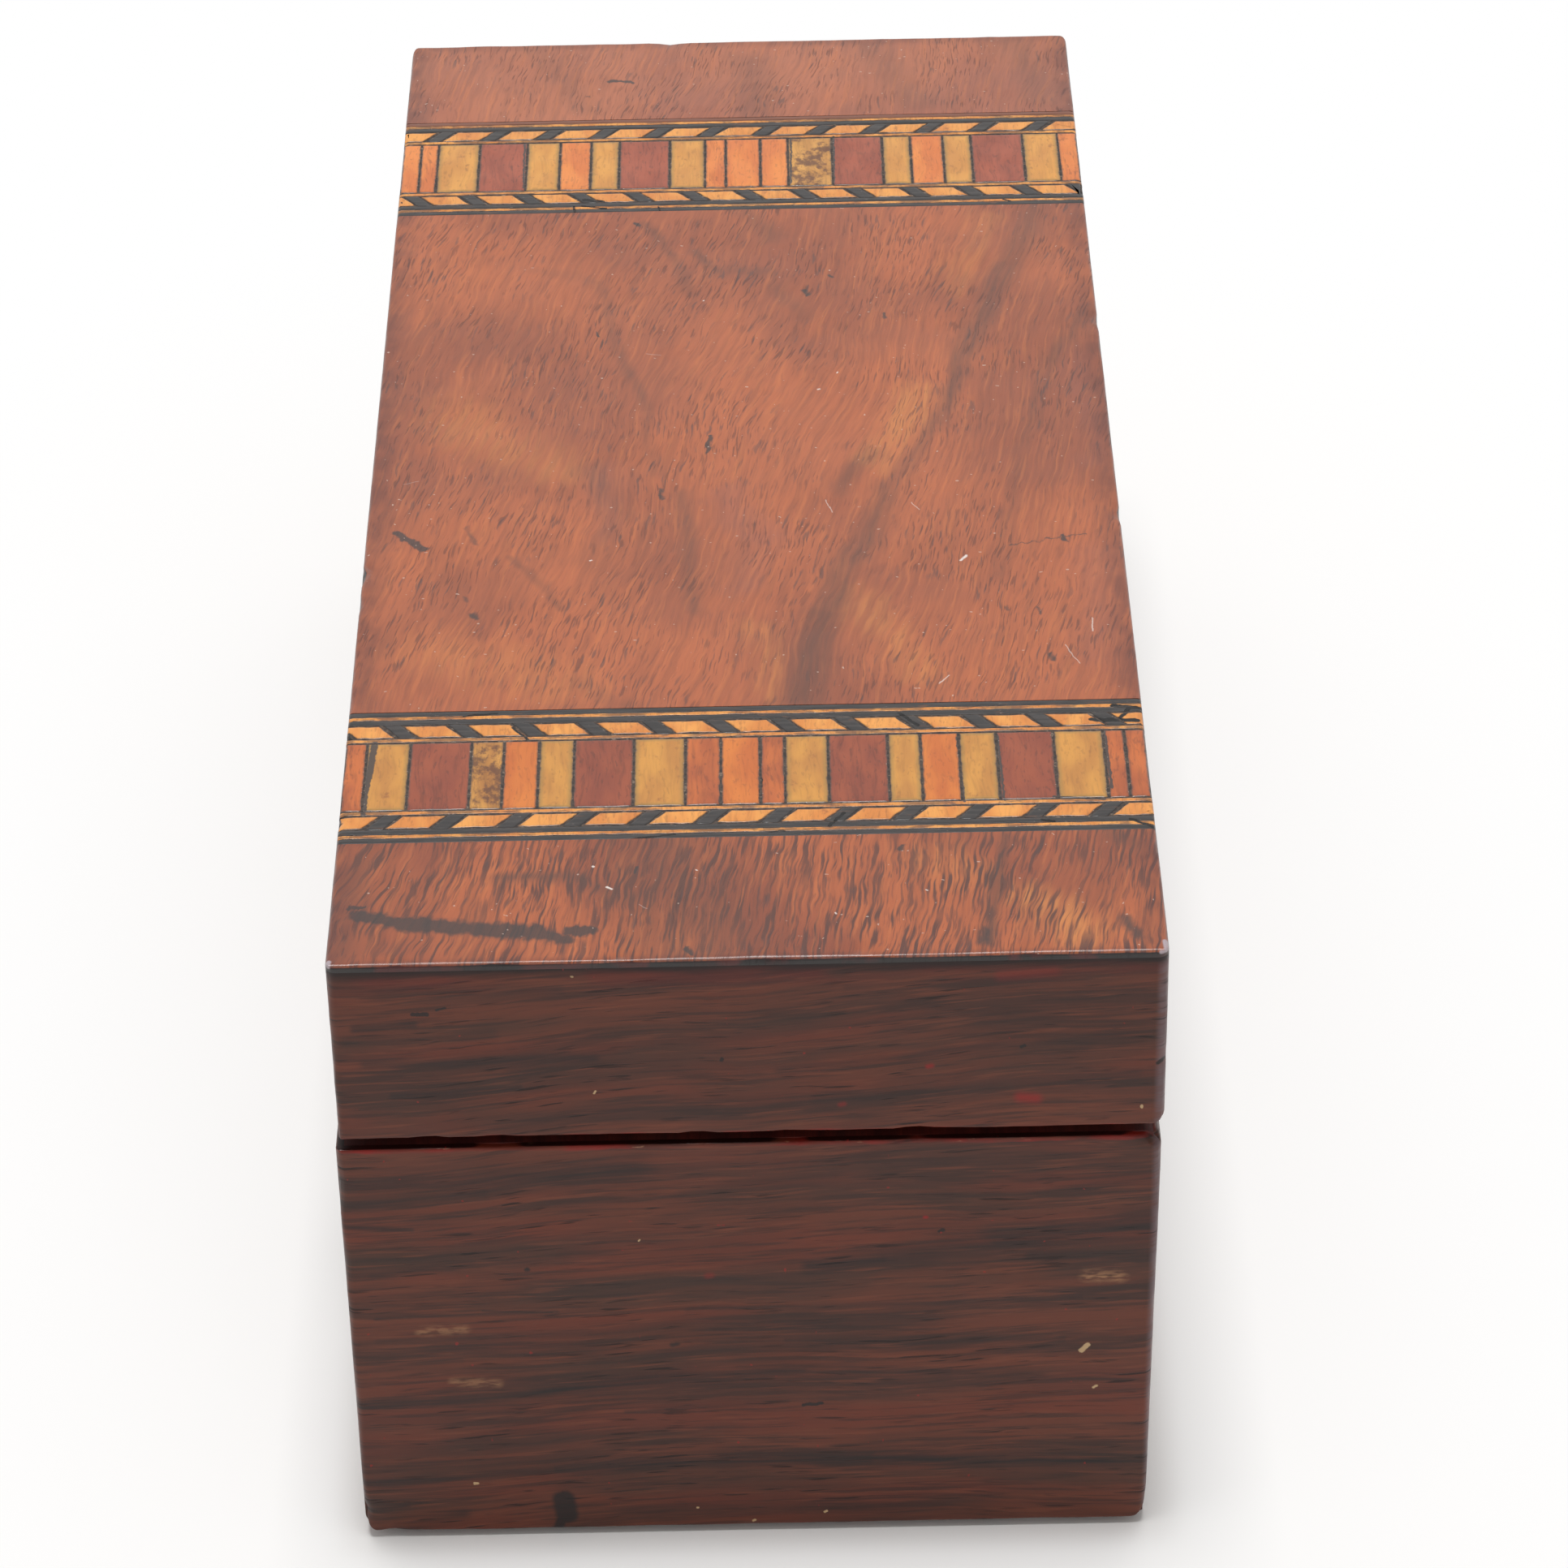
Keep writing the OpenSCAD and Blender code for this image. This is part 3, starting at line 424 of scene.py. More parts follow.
# Pale losses and dabs
NEAR_CHIPS = [
    (40.2, 28.9, 41, 29.8, 0.55, 1), (41.8, 22.8, 42.2, 23.1, 0.35, 0.6),
    (-35.3, 8.8, -35, 8.8, 0.35, 1), (8.4, 2.9, 8.6, 3, 0.3, 0.9), (-7.6, 4, -7.5, 4, 0.25, 0.8),
    (-0.6, 1.6, -0.4, 1.7, 0.3, 0.8), (46.8, 67, 46.8, 67.1, 0.3, 1), (-20.2, 88, -20.1, 88, 0.25, 0.9),
    (-13.6, 47.8, -13.5, 47.9, 0.22, 0.8), (-18.2, 70.6, -18, 70.9, 0.25, 0.7),
]
# Faint tan smudges in the grain
NEAR_RUBS = [
    (41, 40.9, 44.6, 40.7, 1.7, 0.75), (-40.6, 34, -35.4, 34.4, 1.3, 0.55),
    (-37, 25.8, -31.8, 25.6, 1.2, 0.5),
]
NEAR_REDS = [
    (32.4, 68.8, 34.2, 68.6, 1.3, 0.75), (21, 50.6, 21.2, 50.6, 0.4, 1),
    (21.4, 73.7, 21.8, 73.8, 0.6, 0.8), (-5.4, 42, -5, 42.1, 0.8, 0.4),
    (11, 68.2, 11.4, 68.3, 0.6, 0.5), (30, 87, 36, 87.6, 1.4, 0.3),
]


def striped_rosewood(name, along, seed, marked=False):
    """Dark veneer whose black and red-brown stripes run along X or Y, in a slow wave."""
    g = Graph(name)
    run, depth = (g.x, g.y) if along == "X" else (g.y, g.x)
    length = 1 if along == "X" else 0.45
    rise = g.step(g.times(run, length), -58, 6, 0, 3.2)
    fan = g.times(g.larger(g.times(run, length), 0), g.z, 0.0011)
    sheet = g.join(run, g.z, seed)
    wave = g.add(g.sway(sheet, (42, 26, 20), 1), g.sway(sheet, (10, 7, 20), 0.12))
    level = g.add(g.z, wave, g.times(g.add(rise, fan), -1))
    grain = g.join(run, g.add(level, seed), depth)

    stripe = g.noise(grain, (70, 4.2, 40), 4, 0.66)
    color = g.over((104, 52, 35), (72, 40, 31), stripe, 0.38, 0.62)
    warm = g.noise(g.shifted(grain, (0, 60, 0)), (50, 6.5, 30))
    color = g.over(color, (112, 48, 31), warm, 0.46, 0.66, 0.55)
    cool = g.noise(g.shifted(grain, (0, 90, 0)), (44, 8, 30), 3)
    color = g.over(color, (58, 42, 34), cool, 0.5, 0.68, 0.55)
    fibre = g.noise(grain, (17, 0.8, 12), 3, 0.62)
    color = g.over(color, (42, 29, 26), fibre, 0.46, 0.64, 0.55)
    thread = g.noise(g.shifted(grain, (0, 30, 0)), (11, 0.55, 12), 2, 0.55)
    color = g.over(color, (126, 66, 44), thread, 0.55, 0.7, 0.4)
    if marked:
        x, y, z = g.split(g.place)
        place = g.join(x, 0, g.add(z, g.sway(g.join(x, seed, z), (13, 5, 3), 0.42, 3)))
        broken = g.step(g.noise(grain, (20, 0.75, 9), 3, 0.6), 0.32, 0.58, 0.4, 1)
        shade = g.times(g.strokes(place, NEAR_STREAKS, upright=True), broken)
        color = g.mix(g.times(shade, 0.88), color, (33, 27, 27))
        smudge = g.times(g.strokes(place, NEAR_RUBS, upright=True),
                         g.step(g.noise(grain, (1.6, 0.5, 6)), 0.36, 0.62, 0.1, 1))
        color = g.mix(smudge, color, (166, 120, 84))
        # Painted highlight: a pale grey strip down the near face's right edge, where its rounded corner
        # catches the light
        rubbing_and_highlight = g.times(g.step(x, 48, 49), g.step(fibre, 0.3, 0.6, 0.35, 0.75))
        color = g.mix(rubbing_and_highlight, color, (116, 96, 100))
    pores = g.noise(grain, (6.5, 0.52, 6), 2, 0.5)
    crowd = g.step(g.noise(g.shifted(sheet, (5, 5, 5)), (16, 9, 9)), 0.36, 0.62, 0.2, 1)
    opened = g.times(g.step(pores, 0.6, 0.69), crowd)
    color = g.mix(g.times(opened, 0.75), color, (28, 20, 19))
    if marked:
        knots = g.strokes(g.join(x, 0, g.add(z, g.sway(g.place, (0.9, 5, 1.2), 0.18, 2))),
                          NEAR_KNOTS, upright=True)
        color = g.mix(g.times(g.step(knots, 0.08, 0.6), 0.9), color, (32, 26, 26))
        spots = g.strokes(g.join(x, 0, g.add(z, g.sway(g.place, (0.8, 5, 0.5), 0.12, 2))),
                          NEAR_CHIPS, upright=True)
        color = g.over(color, (196, 164, 122), spots, 0.1, 0.55, 0.9)
        color = g.mix(g.strokes(g.place, NEAR_REDS, upright=True), color, (142, 26, 24))

    # Red stain and old glue along the rims, painted shade that darkens the faces within the seam gap
    # nearly to black, and the black line under the top
    uneven = g.sway(g.place, (5, 5, 0.7), 0.22, 3)
    inside = g.distance_from(g.z, SEAM_Z, HALF_SEAM)
    from_rim = g.add(inside, uneven)
    patches = g.noise(g.shifted(g.place, (0, 0, 9)), (9, 9, 3.5), 3, 0.6)
    on_base = g.step(g.z, SEAM_Z + 0.1, SEAM_Z - 0.1)
    red_left = g.step(g.x, -8, -42, 0, 0.3) if along == "X" else 0
    rim = g.add(g.step(patches, 0.46, 0.66, 0.1, 0.85), g.times(on_base, red_left))
    width = g.add(0.16, g.times(on_base, 0.22))
    stain = g.step(g.math("SUBTRACT", from_rim, width), 0.3, 0)
    color = g.mix(g.times(stain, rim), color, (132, 30, 22))
    glue = g.times(g.step(from_rim, 0.4, 0.15), on_base,
                   g.step(g.noise(g.place, (3.5, 3.5, 0.5), 3, 0.6), 0.62, 0.72))
    color = g.mix(g.times(glue, 0.8), color, (188, 138, 108))
    # Painted shade: the faces within the seam gap, and the rim's very edge, go nearly black
    color = g.over(color, (26, 9, 8), inside, 0.09, 0.02, 0.9)
    under_top = g.add(g.times(g.z, -1), TOP_Z, g.sway(g.place, (9, 9, 1.6), 0.35, 3))
    blush = g.step(g.noise(g.shifted(g.place, (3, 0, 0)), (12, 12, 4)), 0.42, 0.6, 0.1, 0.75)
    color = g.mix(g.times(g.step(under_top, 4.6, 1.8), blush, 0.6), color, (112, 24, 18))
    color = g.over(color, (24, 12, 12), under_top, 2.9, 1, 0.94)
    reds = g.noise(g.place, (0.9, 0.9, 0.9), 0)
    color = g.over(color, (150, 34, 28), reds, 0.845, 0.87, 0.6)

    wear = g.noise(g.place, (11, 11, 9), 4, 0.6)
    rough = g.add(g.step(wear, 0.25, 0.75, 0.34, 0.48), g.times(opened, 0.2))
    height = g.add(g.times(fibre, 0.3), g.times(opened, -0.8),
                   g.times(g.noise(g.place, (9, 9, 6)), 0.8))
    return g.finish(color, rough, height, 0.03, **SIDE_POLISH)


# --- woods of the bands ---

# Dark cracks and losses in the bands
NEAR_CRACKS = [
    (19.4, -65.2, 21.7, -67.9, 0.42, 1), (-28.4, -66.8, -26.5, -69.4, 0.35, 1),
    (43.2, -67.4, 48.8, -67.7, 0.75, 1), (46, -64.4, 49.4, -65, 0.65, 1),
    (48, -65, 46.6, -67.4, 0.6, 0.8), (12.2, -86.2, 10.4, -88.8, 0.38, 1),
    (3.2, -89.8, 5, -89.7, 0.35, 0.9), (-34.6, -64, -30.4, -63.6, 0.28, 0.9),
    (36, -88.4, 37.4, -88.8, 0.4, 0.8), (46.6, -88.6, 49.2, -90.2, 0.45, 0.8),
    (-14.4, -91, -8.2, -90, 0.3, 1), (2.2, -78.6, 2.1, -82.8, 0.36, 0.7),
]
# Broad fills of dark glue between blocks
NEAR_FILLS = [
    (-45.3, -69.6, -45.7, -77, 0.75, 1, -46, -84.8, 0.5, 1), (31.4, -70.4, 31.7, -84.2, 0.3, 0.8),
    (37.6, -83.6, 43.8, -84.4, 0.45, 0.7), (44.6, -70, 44.8, -82, 0.42, 0.8),
    (26.4, -70.6, 26.8, -84.4, 0.3, 0.8),
]
FAR_CRACKS = [
    (-22, 66.6, -19.6, 66.1, 0.75, 1), (-23.6, 64.6, -23.4, 62.9, 0.4, 0.9),
    (38, 64.4, 39, 64, 0.4, 0.7), (-11.4, 64.2, -11.2, 62.9, 0.25, 0.9),
    (-22.4, 64.8, -19, 64, 0.4, 0.8),
]
FAR_FILLS = [
    (-31, 70.6, -31.2, 84, 0.3, 0.8), (7.6, 70.6, 7.8, 84, 0.3, 0.8), (13.8, 70.6, 14, 84.2, 0.34, 0.9),
]
DARK_GLUE = (62, 52, 48)
# Y at which the far band's outer dark line, which is faded to brown, begins
FAR_OUTER_LINE = span("far_band_dark_lines")[1][1] - 1.1


def worked_surface(g, color, cracks, fills, rim=None):
    """Dark glue at a piece's edge, in fills and in cracks. Returns the colour and the cracks."""
    inward = g.node("ShaderNodeAttribute", attribute_name="inward").outputs["Fac"]
    fringe = g.add(inward, g.sway(g.place, (1.1, 1.1, 2), 0.22, 3))
    if rim:
        color = g.over(color, rim, fringe, 1.75, 0.5, 0.6)
    color = g.over(color, DARK_GLUE, fringe, 0.75, 0, 0.6)
    color = g.over(color, (52, 43, 40), fringe, 0.24, 0.08, 0.75)
    uneven = g.ragged(g.place, (0.9, 0.9, 2), (0.14, 0.14))
    filled = g.step(g.strokes(uneven, fills), 0.25, 0.55)
    color = g.mix(g.times(filled, 0.95), color, DARK_GLUE)
    split = g.step(g.strokes(uneven, cracks), 0.3, 0.6)
    color = g.mix(split, color, (14, 11, 11))
    crumbs = g.noise(g.place, (0.34, 0.34, 0.34), 1)
    pale = g.times(g.step(crumbs, 0.66, 0.74), g.step(fringe, 0.55, 0.05))
    color = g.mix(g.times(pale, 0.6), color, (196, 178, 160))
    return color, split


def band_wood(name, light, dark, seed, cracks, fills, pits=0.35, mottle=0, broken=0, rim=None):
    """Polished wood of the bands, its grain across the band, with cracks and rubbed dirt."""
    g = Graph(name)
    apart = g.shifted(g.place, (seed, seed, 0))
    grain = g.join(g.add(g.x, g.sway(apart, (5, 9, 9), 0.5)), g.y, g.add(g.z, seed))
    patch = g.noise(grain, (3.2, 9, 9))
    color = g.over(light, dark, patch, 0.34, 0.66)
    fibre = g.noise(grain, (0.45, 5, 4), 3, 0.6)
    color = g.over(color, srgb(dark, 0.4), fibre, 0.46, 0.7, pits)
    pores = g.noise(grain, (0.4, 1.5, 2), 1)
    color = g.over(color, (84, 40, 28), pores, 0.6, 0.7, 0.9 * pits)
    stain = g.noise(g.shifted(apart, (5, 0, 0)), (1.6, 2.2, 3), 4, 0.65)
    color = g.over(color, (122, 60, 34), stain, 0.58, 0.76, 0.55)
    if mottle:
        cloud = g.noise(g.shifted(apart, (0, 9, 0)), (2.6, 3.6, 4), 5, 0.72)
        color = g.over(color, (92, 50, 28), cloud, 0.46, 0.6, mottle)
    if broken:
        gaps = g.noise(g.shifted(apart, (0, 0, 7)), (4.5, 1.1, 5), 4, 0.68)
        color = g.over(color, DARK_GLUE, gaps, 0.46, 0.55, broken)
    color, split = worked_surface(g, color, cracks, fills, rim)
    color = top_edge(g, color)
    wear = g.noise(g.place, (6, 6, 6), 4, 0.6)
    rough = g.add(g.step(wear, 0.25, 0.75, 0.34, 0.5), g.times(split, 0.3))
    height = g.add(g.times(fibre, 0.4), g.times(split, -4), g.times(pores, -0.5))
    return g.finish(color, rough, height, 0.03, **TOP_POLISH)


def ebonised(name, seed, cracks, faded):
    """Rubbed dark stringing and lozenges. Faded is set where the outer line has gone brown."""
    g = Graph(name)
    apart = g.shifted(g.place, (seed, 0, 0))
    fibre = g.noise(g.join(g.x, g.y, seed), (5, 0.5, 4), 3, 0.6)
    color = g.over((36, 33, 33), (58, 53, 52), fibre, 0.38, 0.66)
    rubbing_and_highlight = g.noise(apart, (4.5, 0.9, 3), 4, 0.65)
    color = g.over(color, (116, 72, 44), rubbing_and_highlight, 0.6, 0.72, 0.6)
    if faded:
        past = g.add(g.y, -FAR_OUTER_LINE)
        color = g.over(color, (140, 78, 50), past, -0.15, 0.15, 0.72)
    crumbs = g.noise(apart, (0.8, 0.3, 0.6))
    color = g.over(color, (150, 138, 128), crumbs, 0.7, 0.78, 0.5)
    uneven = g.ragged(g.place, (0.9, 0.9, 2), (0.14, 0.14))
    split = g.step(g.strokes(uneven, cracks), 0.3, 0.6)
    color = g.mix(split, color, (10, 8, 8))
    color = top_edge(g, color)
    rough = g.add(g.step(rubbing_and_highlight, 0.3, 0.7, 0.36, 0.52), g.times(split, 0.3))
    height = g.add(g.times(fibre, 0.5), g.times(split, -4))
    return g.finish(color, rough, height, 0.03, **TOP_POLISH)


# --- plain woods, cloth and metals ---


def bare_wood(name, light, dark, seed, along="Y", polish=0):
    """Straight-grained wood of the carcass and the linings."""
    g = Graph(name)
    run, across = (g.y, g.x) if along == "Y" else (g.x, g.y)
    bow = g.times(g.add(g.noise(g.place, (60, 60, 25), 1), -0.5), 14)
    grain = g.join(g.add(across, bow, seed), run, g.add(g.z, bow))
    rings = g.noise(grain, (2.4, 90, 2.4), 3, 0.6)
    fibre = g.noise(grain, (0.35, 12, 0.35), 3, 0.6)
    color = g.over(light, dark, rings, 0.32, 0.68)
    color = g.over(color, srgb(dark, 0.4), fibre, 0.4, 0.72, 0.4)
    dust = g.noise(g.place, (14, 14, 14), 4, 0.6)
    color = g.over(color, (70, 46, 34), dust, 0.45, 0.75, 0.4)
    height = g.add(g.times(fibre, 0.6), g.times(rings, 0.4))
    return g.finish(color, g.step(dust, 0.3, 0.7, 0.62 - polish, 0.78 - polish), height, 0.05)


def worn_velvet(name):
    """Dark red pile, rubbed paler in places."""
    g = Graph(name)
    pile = g.noise(g.place, (0.35, 0.35, 0.35))
    rubbing_and_highlight = g.noise(g.place, (18, 22, 10), 4, 0.6)
    color = g.over((92, 16, 24), (128, 48, 44), rubbing_and_highlight, 0.4, 0.72)
    color = g.over(color, (48, 8, 14), pile, 0.35, 0.65, 0.5)
    lay = g.noise(g.place, (5, 12, 5), 3)
    height = g.add(pile, g.times(lay, 0.6))
    return g.finish(color, 0.92, height, 0.25, sheen_weight=0.6, sheen_roughness=0.4)


def aged_metal(name, tint, seed):
    """Metal gone brown in its hollows, with fine rubbing scratches."""
    g = Graph(name)
    stain = g.noise(g.shifted(g.place, (seed, 0, 0)), (1.6, 2.4, 1.6), 4, 0.6)
    scratch = g.noise(g.place, (0.12, 3, 0.3))
    color = g.over(tint, (92, 64, 34), stain, 0.4, 0.68)
    rough = g.add(g.step(stain, 0.3, 0.7, 0.28, 0.5), g.times(scratch, 0.1))
    return g.finish(color, rough, g.add(stain, g.times(scratch, 0.4)), 0.015, metallic=1)


def glue_line(name):
    """Old dark glue and pale dust between the pieces of a band."""
    g = Graph(name)
    grit = g.noise(g.place, (0.5, 0.5, 0.5))
    color = g.over((48, 40, 38), (80, 68, 60), grit, 0.35, 0.65)
    dust = g.noise(g.place, (1.1, 0.7, 0.7), 3, 0.65)
    color = g.over(color, (158, 138, 120), dust, 0.58, 0.68, 0.55)
    return g.finish(color, 0.7, grit, 0.05)


# --- worn skins ---

TOP_R, RIM_R = 0.55, 0.4
CORNER_R, FAR_CORNER_R = 1.1, 2
FINGER_R, FOOT_R = 2.3, 2.5
# How far the base's opening side leans in at its foot, and between which x it sets in
LEAN, LEAN_FROM, LEAN_FULL = 0.7, 40, 48
SHARP_ANGLE = math.radians(38)
# Offsets from a piece's ends at which its mesh is cut finely enough for a worn edge
EDGE_CUTS = [0, 0.08, 0.18, 0.32, 0.5, 0.7, 0.95, 1.3, 1.7, 2.2, 2.8, 3.5]
COARSE_STEP = 1.6
# Chips pull along each axis on which they are this near to a side
CHIP_EDGE = 3.5
# Small losses on edges. Rows: x, y, z, reach and depth in mm
CHIPS = [
    (-48.9, -31, 90.2, 2.4, 0.35), (-48.9, -38, 90.2, 2, 0.2), (-48.9, -86, 90.2, 1.6, 0.2),
    (-49.4, -115, 4, 2.4, 0.35), (-46, -115, 0.9, 2.4, 0.25), (49.4, -115, 3, 3.2, 0.25),
    (-41, -115, 90.2, 2, 0.25), (-14, -115, 90.2, 2.4, 0.28), (-29, -115, 90.2, 3, 0.22),
    (2, -115, 90.2, 2, 0.25), (14, -115, 90.2, 4, 0.22), (33, -115, 90.2, 2.6, 0.22),
    (49.6, -115, 75, 1.6, 0.35), (49.4, -115, 62.6, 2.4, 1), (47, -115, 62.6, 2, 0.4),
    (-6, -115, 64.2, 2.5, 0.2), (20, -115, 64.2, 3, 0.25), (-38, -115, 64.2, 2, 0.25),
    (-30, -115, 62.6, 3.5, 0.3), (5, -115, 62.6, 3, 0.25), (49.6, -20, 90.2, 2.5, 0.3),
    (49.6, 30, 90.2, 2.5, 0.3), (49.6, 96, 64.2, 3, 0.4), (-10, 115, 90.2, 2.5, 0.3),
    (30, 115, 62.6, 3, 0.3),
]


def cuts(low, high):
    """Places at which a side from low to high is cut, fine at both ends."""
    length = high - low
    near = [c for c in EDGE_CUTS if c < length / 2]
    middle_low, middle_high = near[-1], length - near[-1]
    count = max(1, round((middle_high - middle_low) / COARSE_STEP))
    middle = list(np.linspace(middle_low, middle_high, count + 1))
    return low + np.array(near[:-1] + middle + [length - c for c in reversed(near[:-1])])


def lattice_box(low, high):
    """Vertices and outward quads of a closed box, cut finely by its edges."""
    grid = [cuts(a, b) for a, b in zip(low, high)]
    index, points, quads = {}, [], []

    def vertex(place):
        if place not in index:
            index[place] = len(points)
            points.append([grid[axis][place[axis]] for axis in range(3)])
        return index[place]

    for axis in range(3):
        a, b = (axis + 1) % 3, (axis + 2) % 3
        for level in (0, len(grid[axis]) - 1):
            for u, v in np.ndindex(len(grid[a]) - 1, len(grid[b]) - 1):
                ring = []
                for du, dv in ((0, 0), (1, 0), (1, 1), (0, 1)):
                    corner = [0, 0, 0]
                    corner[axis], corner[a], corner[b] = level, u + du, v + dv
                    ring.append(vertex(tuple(corner)))
                quads.append(ring if level else ring[::-1])
    return np.array(points, float), quads


def field(points, scale, seed):
    """Smooth noise about 0 at each point, with features of scale millimetres."""
    return np.array([noise.noise(Vector(p) / scale + Vector((seed, 0, 0))) for p in points])


def rounded(points, low, high, axes, radius):
    """The points with the block's edges along one direction rounded, in the plane of axes."""
    plane, reach = points[:, axes], radius[:, None]
    inner = np.clip(plane, low[axes] + reach, high[axes] - reach)
    offset = plane - inner
    length = np.linalg.norm(offset, axis=1, keepdims=True)
    moved = points.copy()
    moved[:, axes] = inner + offset * np.minimum(1, reach / np.maximum(length, 1e-9))
    return moved


def wear_edges(points, is_lid):
    """The points with the outer edges of their block rounded and chipped, never outwards."""
    low, high = (LID_LOW, LID_HIGH) if is_lid else (BASE_LOW, BASE_HIGH)
    x, y, z = points.T
    uneven = 1 + 0.45 * field(points, 8, 3) + 0.25 * field(points, 2.4, 7)
    upper = z > (low[2] + high[2]) / 2
    finger = np.where(x > 0, FINGER_R, RIM_R)
    side_radius = np.where(upper, TOP_R, finger) if is_lid else np.where(upper, 0.7 * finger, FOOT_R)
    end_radius = np.where(upper & is_lid, TOP_R, RIM_R)
    corner = np.where(y > 0, FAR_CORNER_R, CORNER_R)
    moved = rounded(points, low, high, [0, 1], np.clip(corner * uneven, 0.3, 2.4))
    moved = rounded(moved, low, high, [0, 2], np.clip(side_radius * uneven, 0.15, 2.7))
    moved = rounded(moved, low, high, [1, 2], np.clip(end_radius * uneven, 0.12, 1))
    centre = (low + high) / 2
    for *place, reach, depth in CHIPS:
        inwards = centre - np.array(place)
        distance = np.linalg.norm(moved - np.array(place), axis=1)
        share = np.clip(1 - distance / reach, 0, 1)
        by_edge = np.abs(inwards) > (high - low) / 2 - CHIP_EDGE
        pull = depth * share ** 2 * (3 - 2 * share)
        moved += pull[:, None] * np.sign(inwards) * by_edge * 0.7
    if not is_lid:
        below = np.clip((high[2] - moved[:, 2]) / high[2], 0, 1)
        outer = np.clip((moved[:, 0] - LEAN_FROM) / (LEAN_FULL - LEAN_FROM), 0, 1)
        moved[:, 0] -= LEAN * below * outer
    return moved


def placed(name, data):
    """New object in the scene."""
    made = bpy.data.objects.new(name, data)
    bpy.context.scene.collection.objects.link(made)
    return made


def mesh_object(name, points, faces, material):
    """Mesh object from points in millimetres."""
    mesh = bpy.data.meshes.new(name)
    mesh.from_pydata((np.asarray(points) * MM).tolist(), [], faces)
    mesh.polygons.foreach_set("use_smooth", [True] * len(mesh.polygons))
    mesh.set_sharp_from_angle(angle=SHARP_ANGLE)
    mesh.materials.append(material)
    return placed(name, mesh)


def stand_in(made, node, body):
    """Makes a new piece ride on a body in place of a CAD node."""
    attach(made, body)
    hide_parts(node)


def worn_skin(node, body, material):
    """Detailed piece that stands for a veneer: the node's own box with worn outer edges."""
    points, quads = lattice_box(*span(node))
    made = mesh_object(node + "_skin", wear_edges(points, body == "lid"), quads, material)
    stand_in(made, node, body)


# --- inlay ---

# Rings of a piece's top, from its edge inwards: share of the way in and depth in mm
TOP_RINGS = [(0, 0.1), (0.1, 0.035), (0.28, 0.01), (0.55, 0), (1, 0)]
# Levels of a piece's side below the top
SIDE_LEVELS = [1, 0.6, 0.3]
RING_STEP = 0.55
# Sine of a corner's turn below which the corner counts as straight
STRAIGHT = 0.02
# Edges this near to the lid's side stay where they are
ON_SIDE = 0.05
# Depth of the glue between pieces, and how far it stays below the top
GLUE_DEPTH, GLUE_BELOW = 0.7, 0.07


def outlines(node):
    """Outlines, seen from above and turning left, of a CAD node's separate solids in mm."""
    mesh = nodes[node].data
    keys = [tuple(round(c / MM, 3) for c in v.co) for v in mesh.vertices]
    parent = {key: key for key in keys}

    def root(key):
        while parent[key] != key:
            parent[key] = parent[parent[key]]
            key = parent[key]
        return key

    for edge in mesh.edges:
        a, b = (root(keys[i]) for i in edge.vertices)
        parent[a] = b
    solids = {}
    for key in sorted(parent):
        solids.setdefault(root(key), set()).add(key[:2])
    found = []
    for corners in solids.values():
        corners = sorted(corners)
        hull = [np.array(corners[i]) for i in geometry.convex_hull_2d([Vector(c) for c in corners])]
        found.append(tidy_outline(hull))
    return sorted(found, key=lambda outline: tuple(outline.mean(axis=0)))


def tidy_outline(hull):
    """The outline, turning left, without corners that are close together or nearly straight."""
    area = sum(a[0] * b[1] - a[1] * b[0] for a, b in zip(hull, hull[1:] + hull[:1]))
    if area < 0:
        hull = hull[::-1]
    kept = []
    for i, corner in enumerate(hull):
        before, after = hull[i - 1], hull[(i + 1) % len(hull)]
        turn = np.cross(corner - before, after - corner)
        if abs(turn) > STRAIGHT * np.linalg.norm(corner - before) * np.linalg.norm(after - corner):
            kept.append(corner)
    return np.array(kept)


def moved_in(outline, distance):
    """Convex outline moved inwards by distance."""
    sides = np.roll(outline, -1, axis=0) - outline
    inward = np.stack([-sides[:, 1], sides[:, 0]], 1) / np.linalg.norm(sides, axis=1)[:, None]
    shift = [np.linalg.solve([inward[i - 1], inward[i]], [distance, distance])
             for i in range(len(outline))]
    return outline + np.array(shift)


def along_outline(outline, counts):
    """Places along the outline, with counts of them on each side."""
    sides = zip(outline, np.roll(outline, -1, axis=0), counts)
    return np.array([a + (b - a) * k / count for a, b, count in sides for k in range(count)])


def widened(outline, by):
    """The outline with its corners moved sideways, away from the piece's own middle line."""
    top, bottom = outline[:, 1].max(), outline[:, 1].min()
    middles = [outline[np.abs(outline[:, 1] - level) < 0.05, 0].mean() for level in (bottom, top)]
    middle = np.interp(outline[:, 1], (bottom, top), middles)
    moved = outline.copy()
    moved[:, 0] += by * np.sign(outline[:, 0] - middle)
    return moved


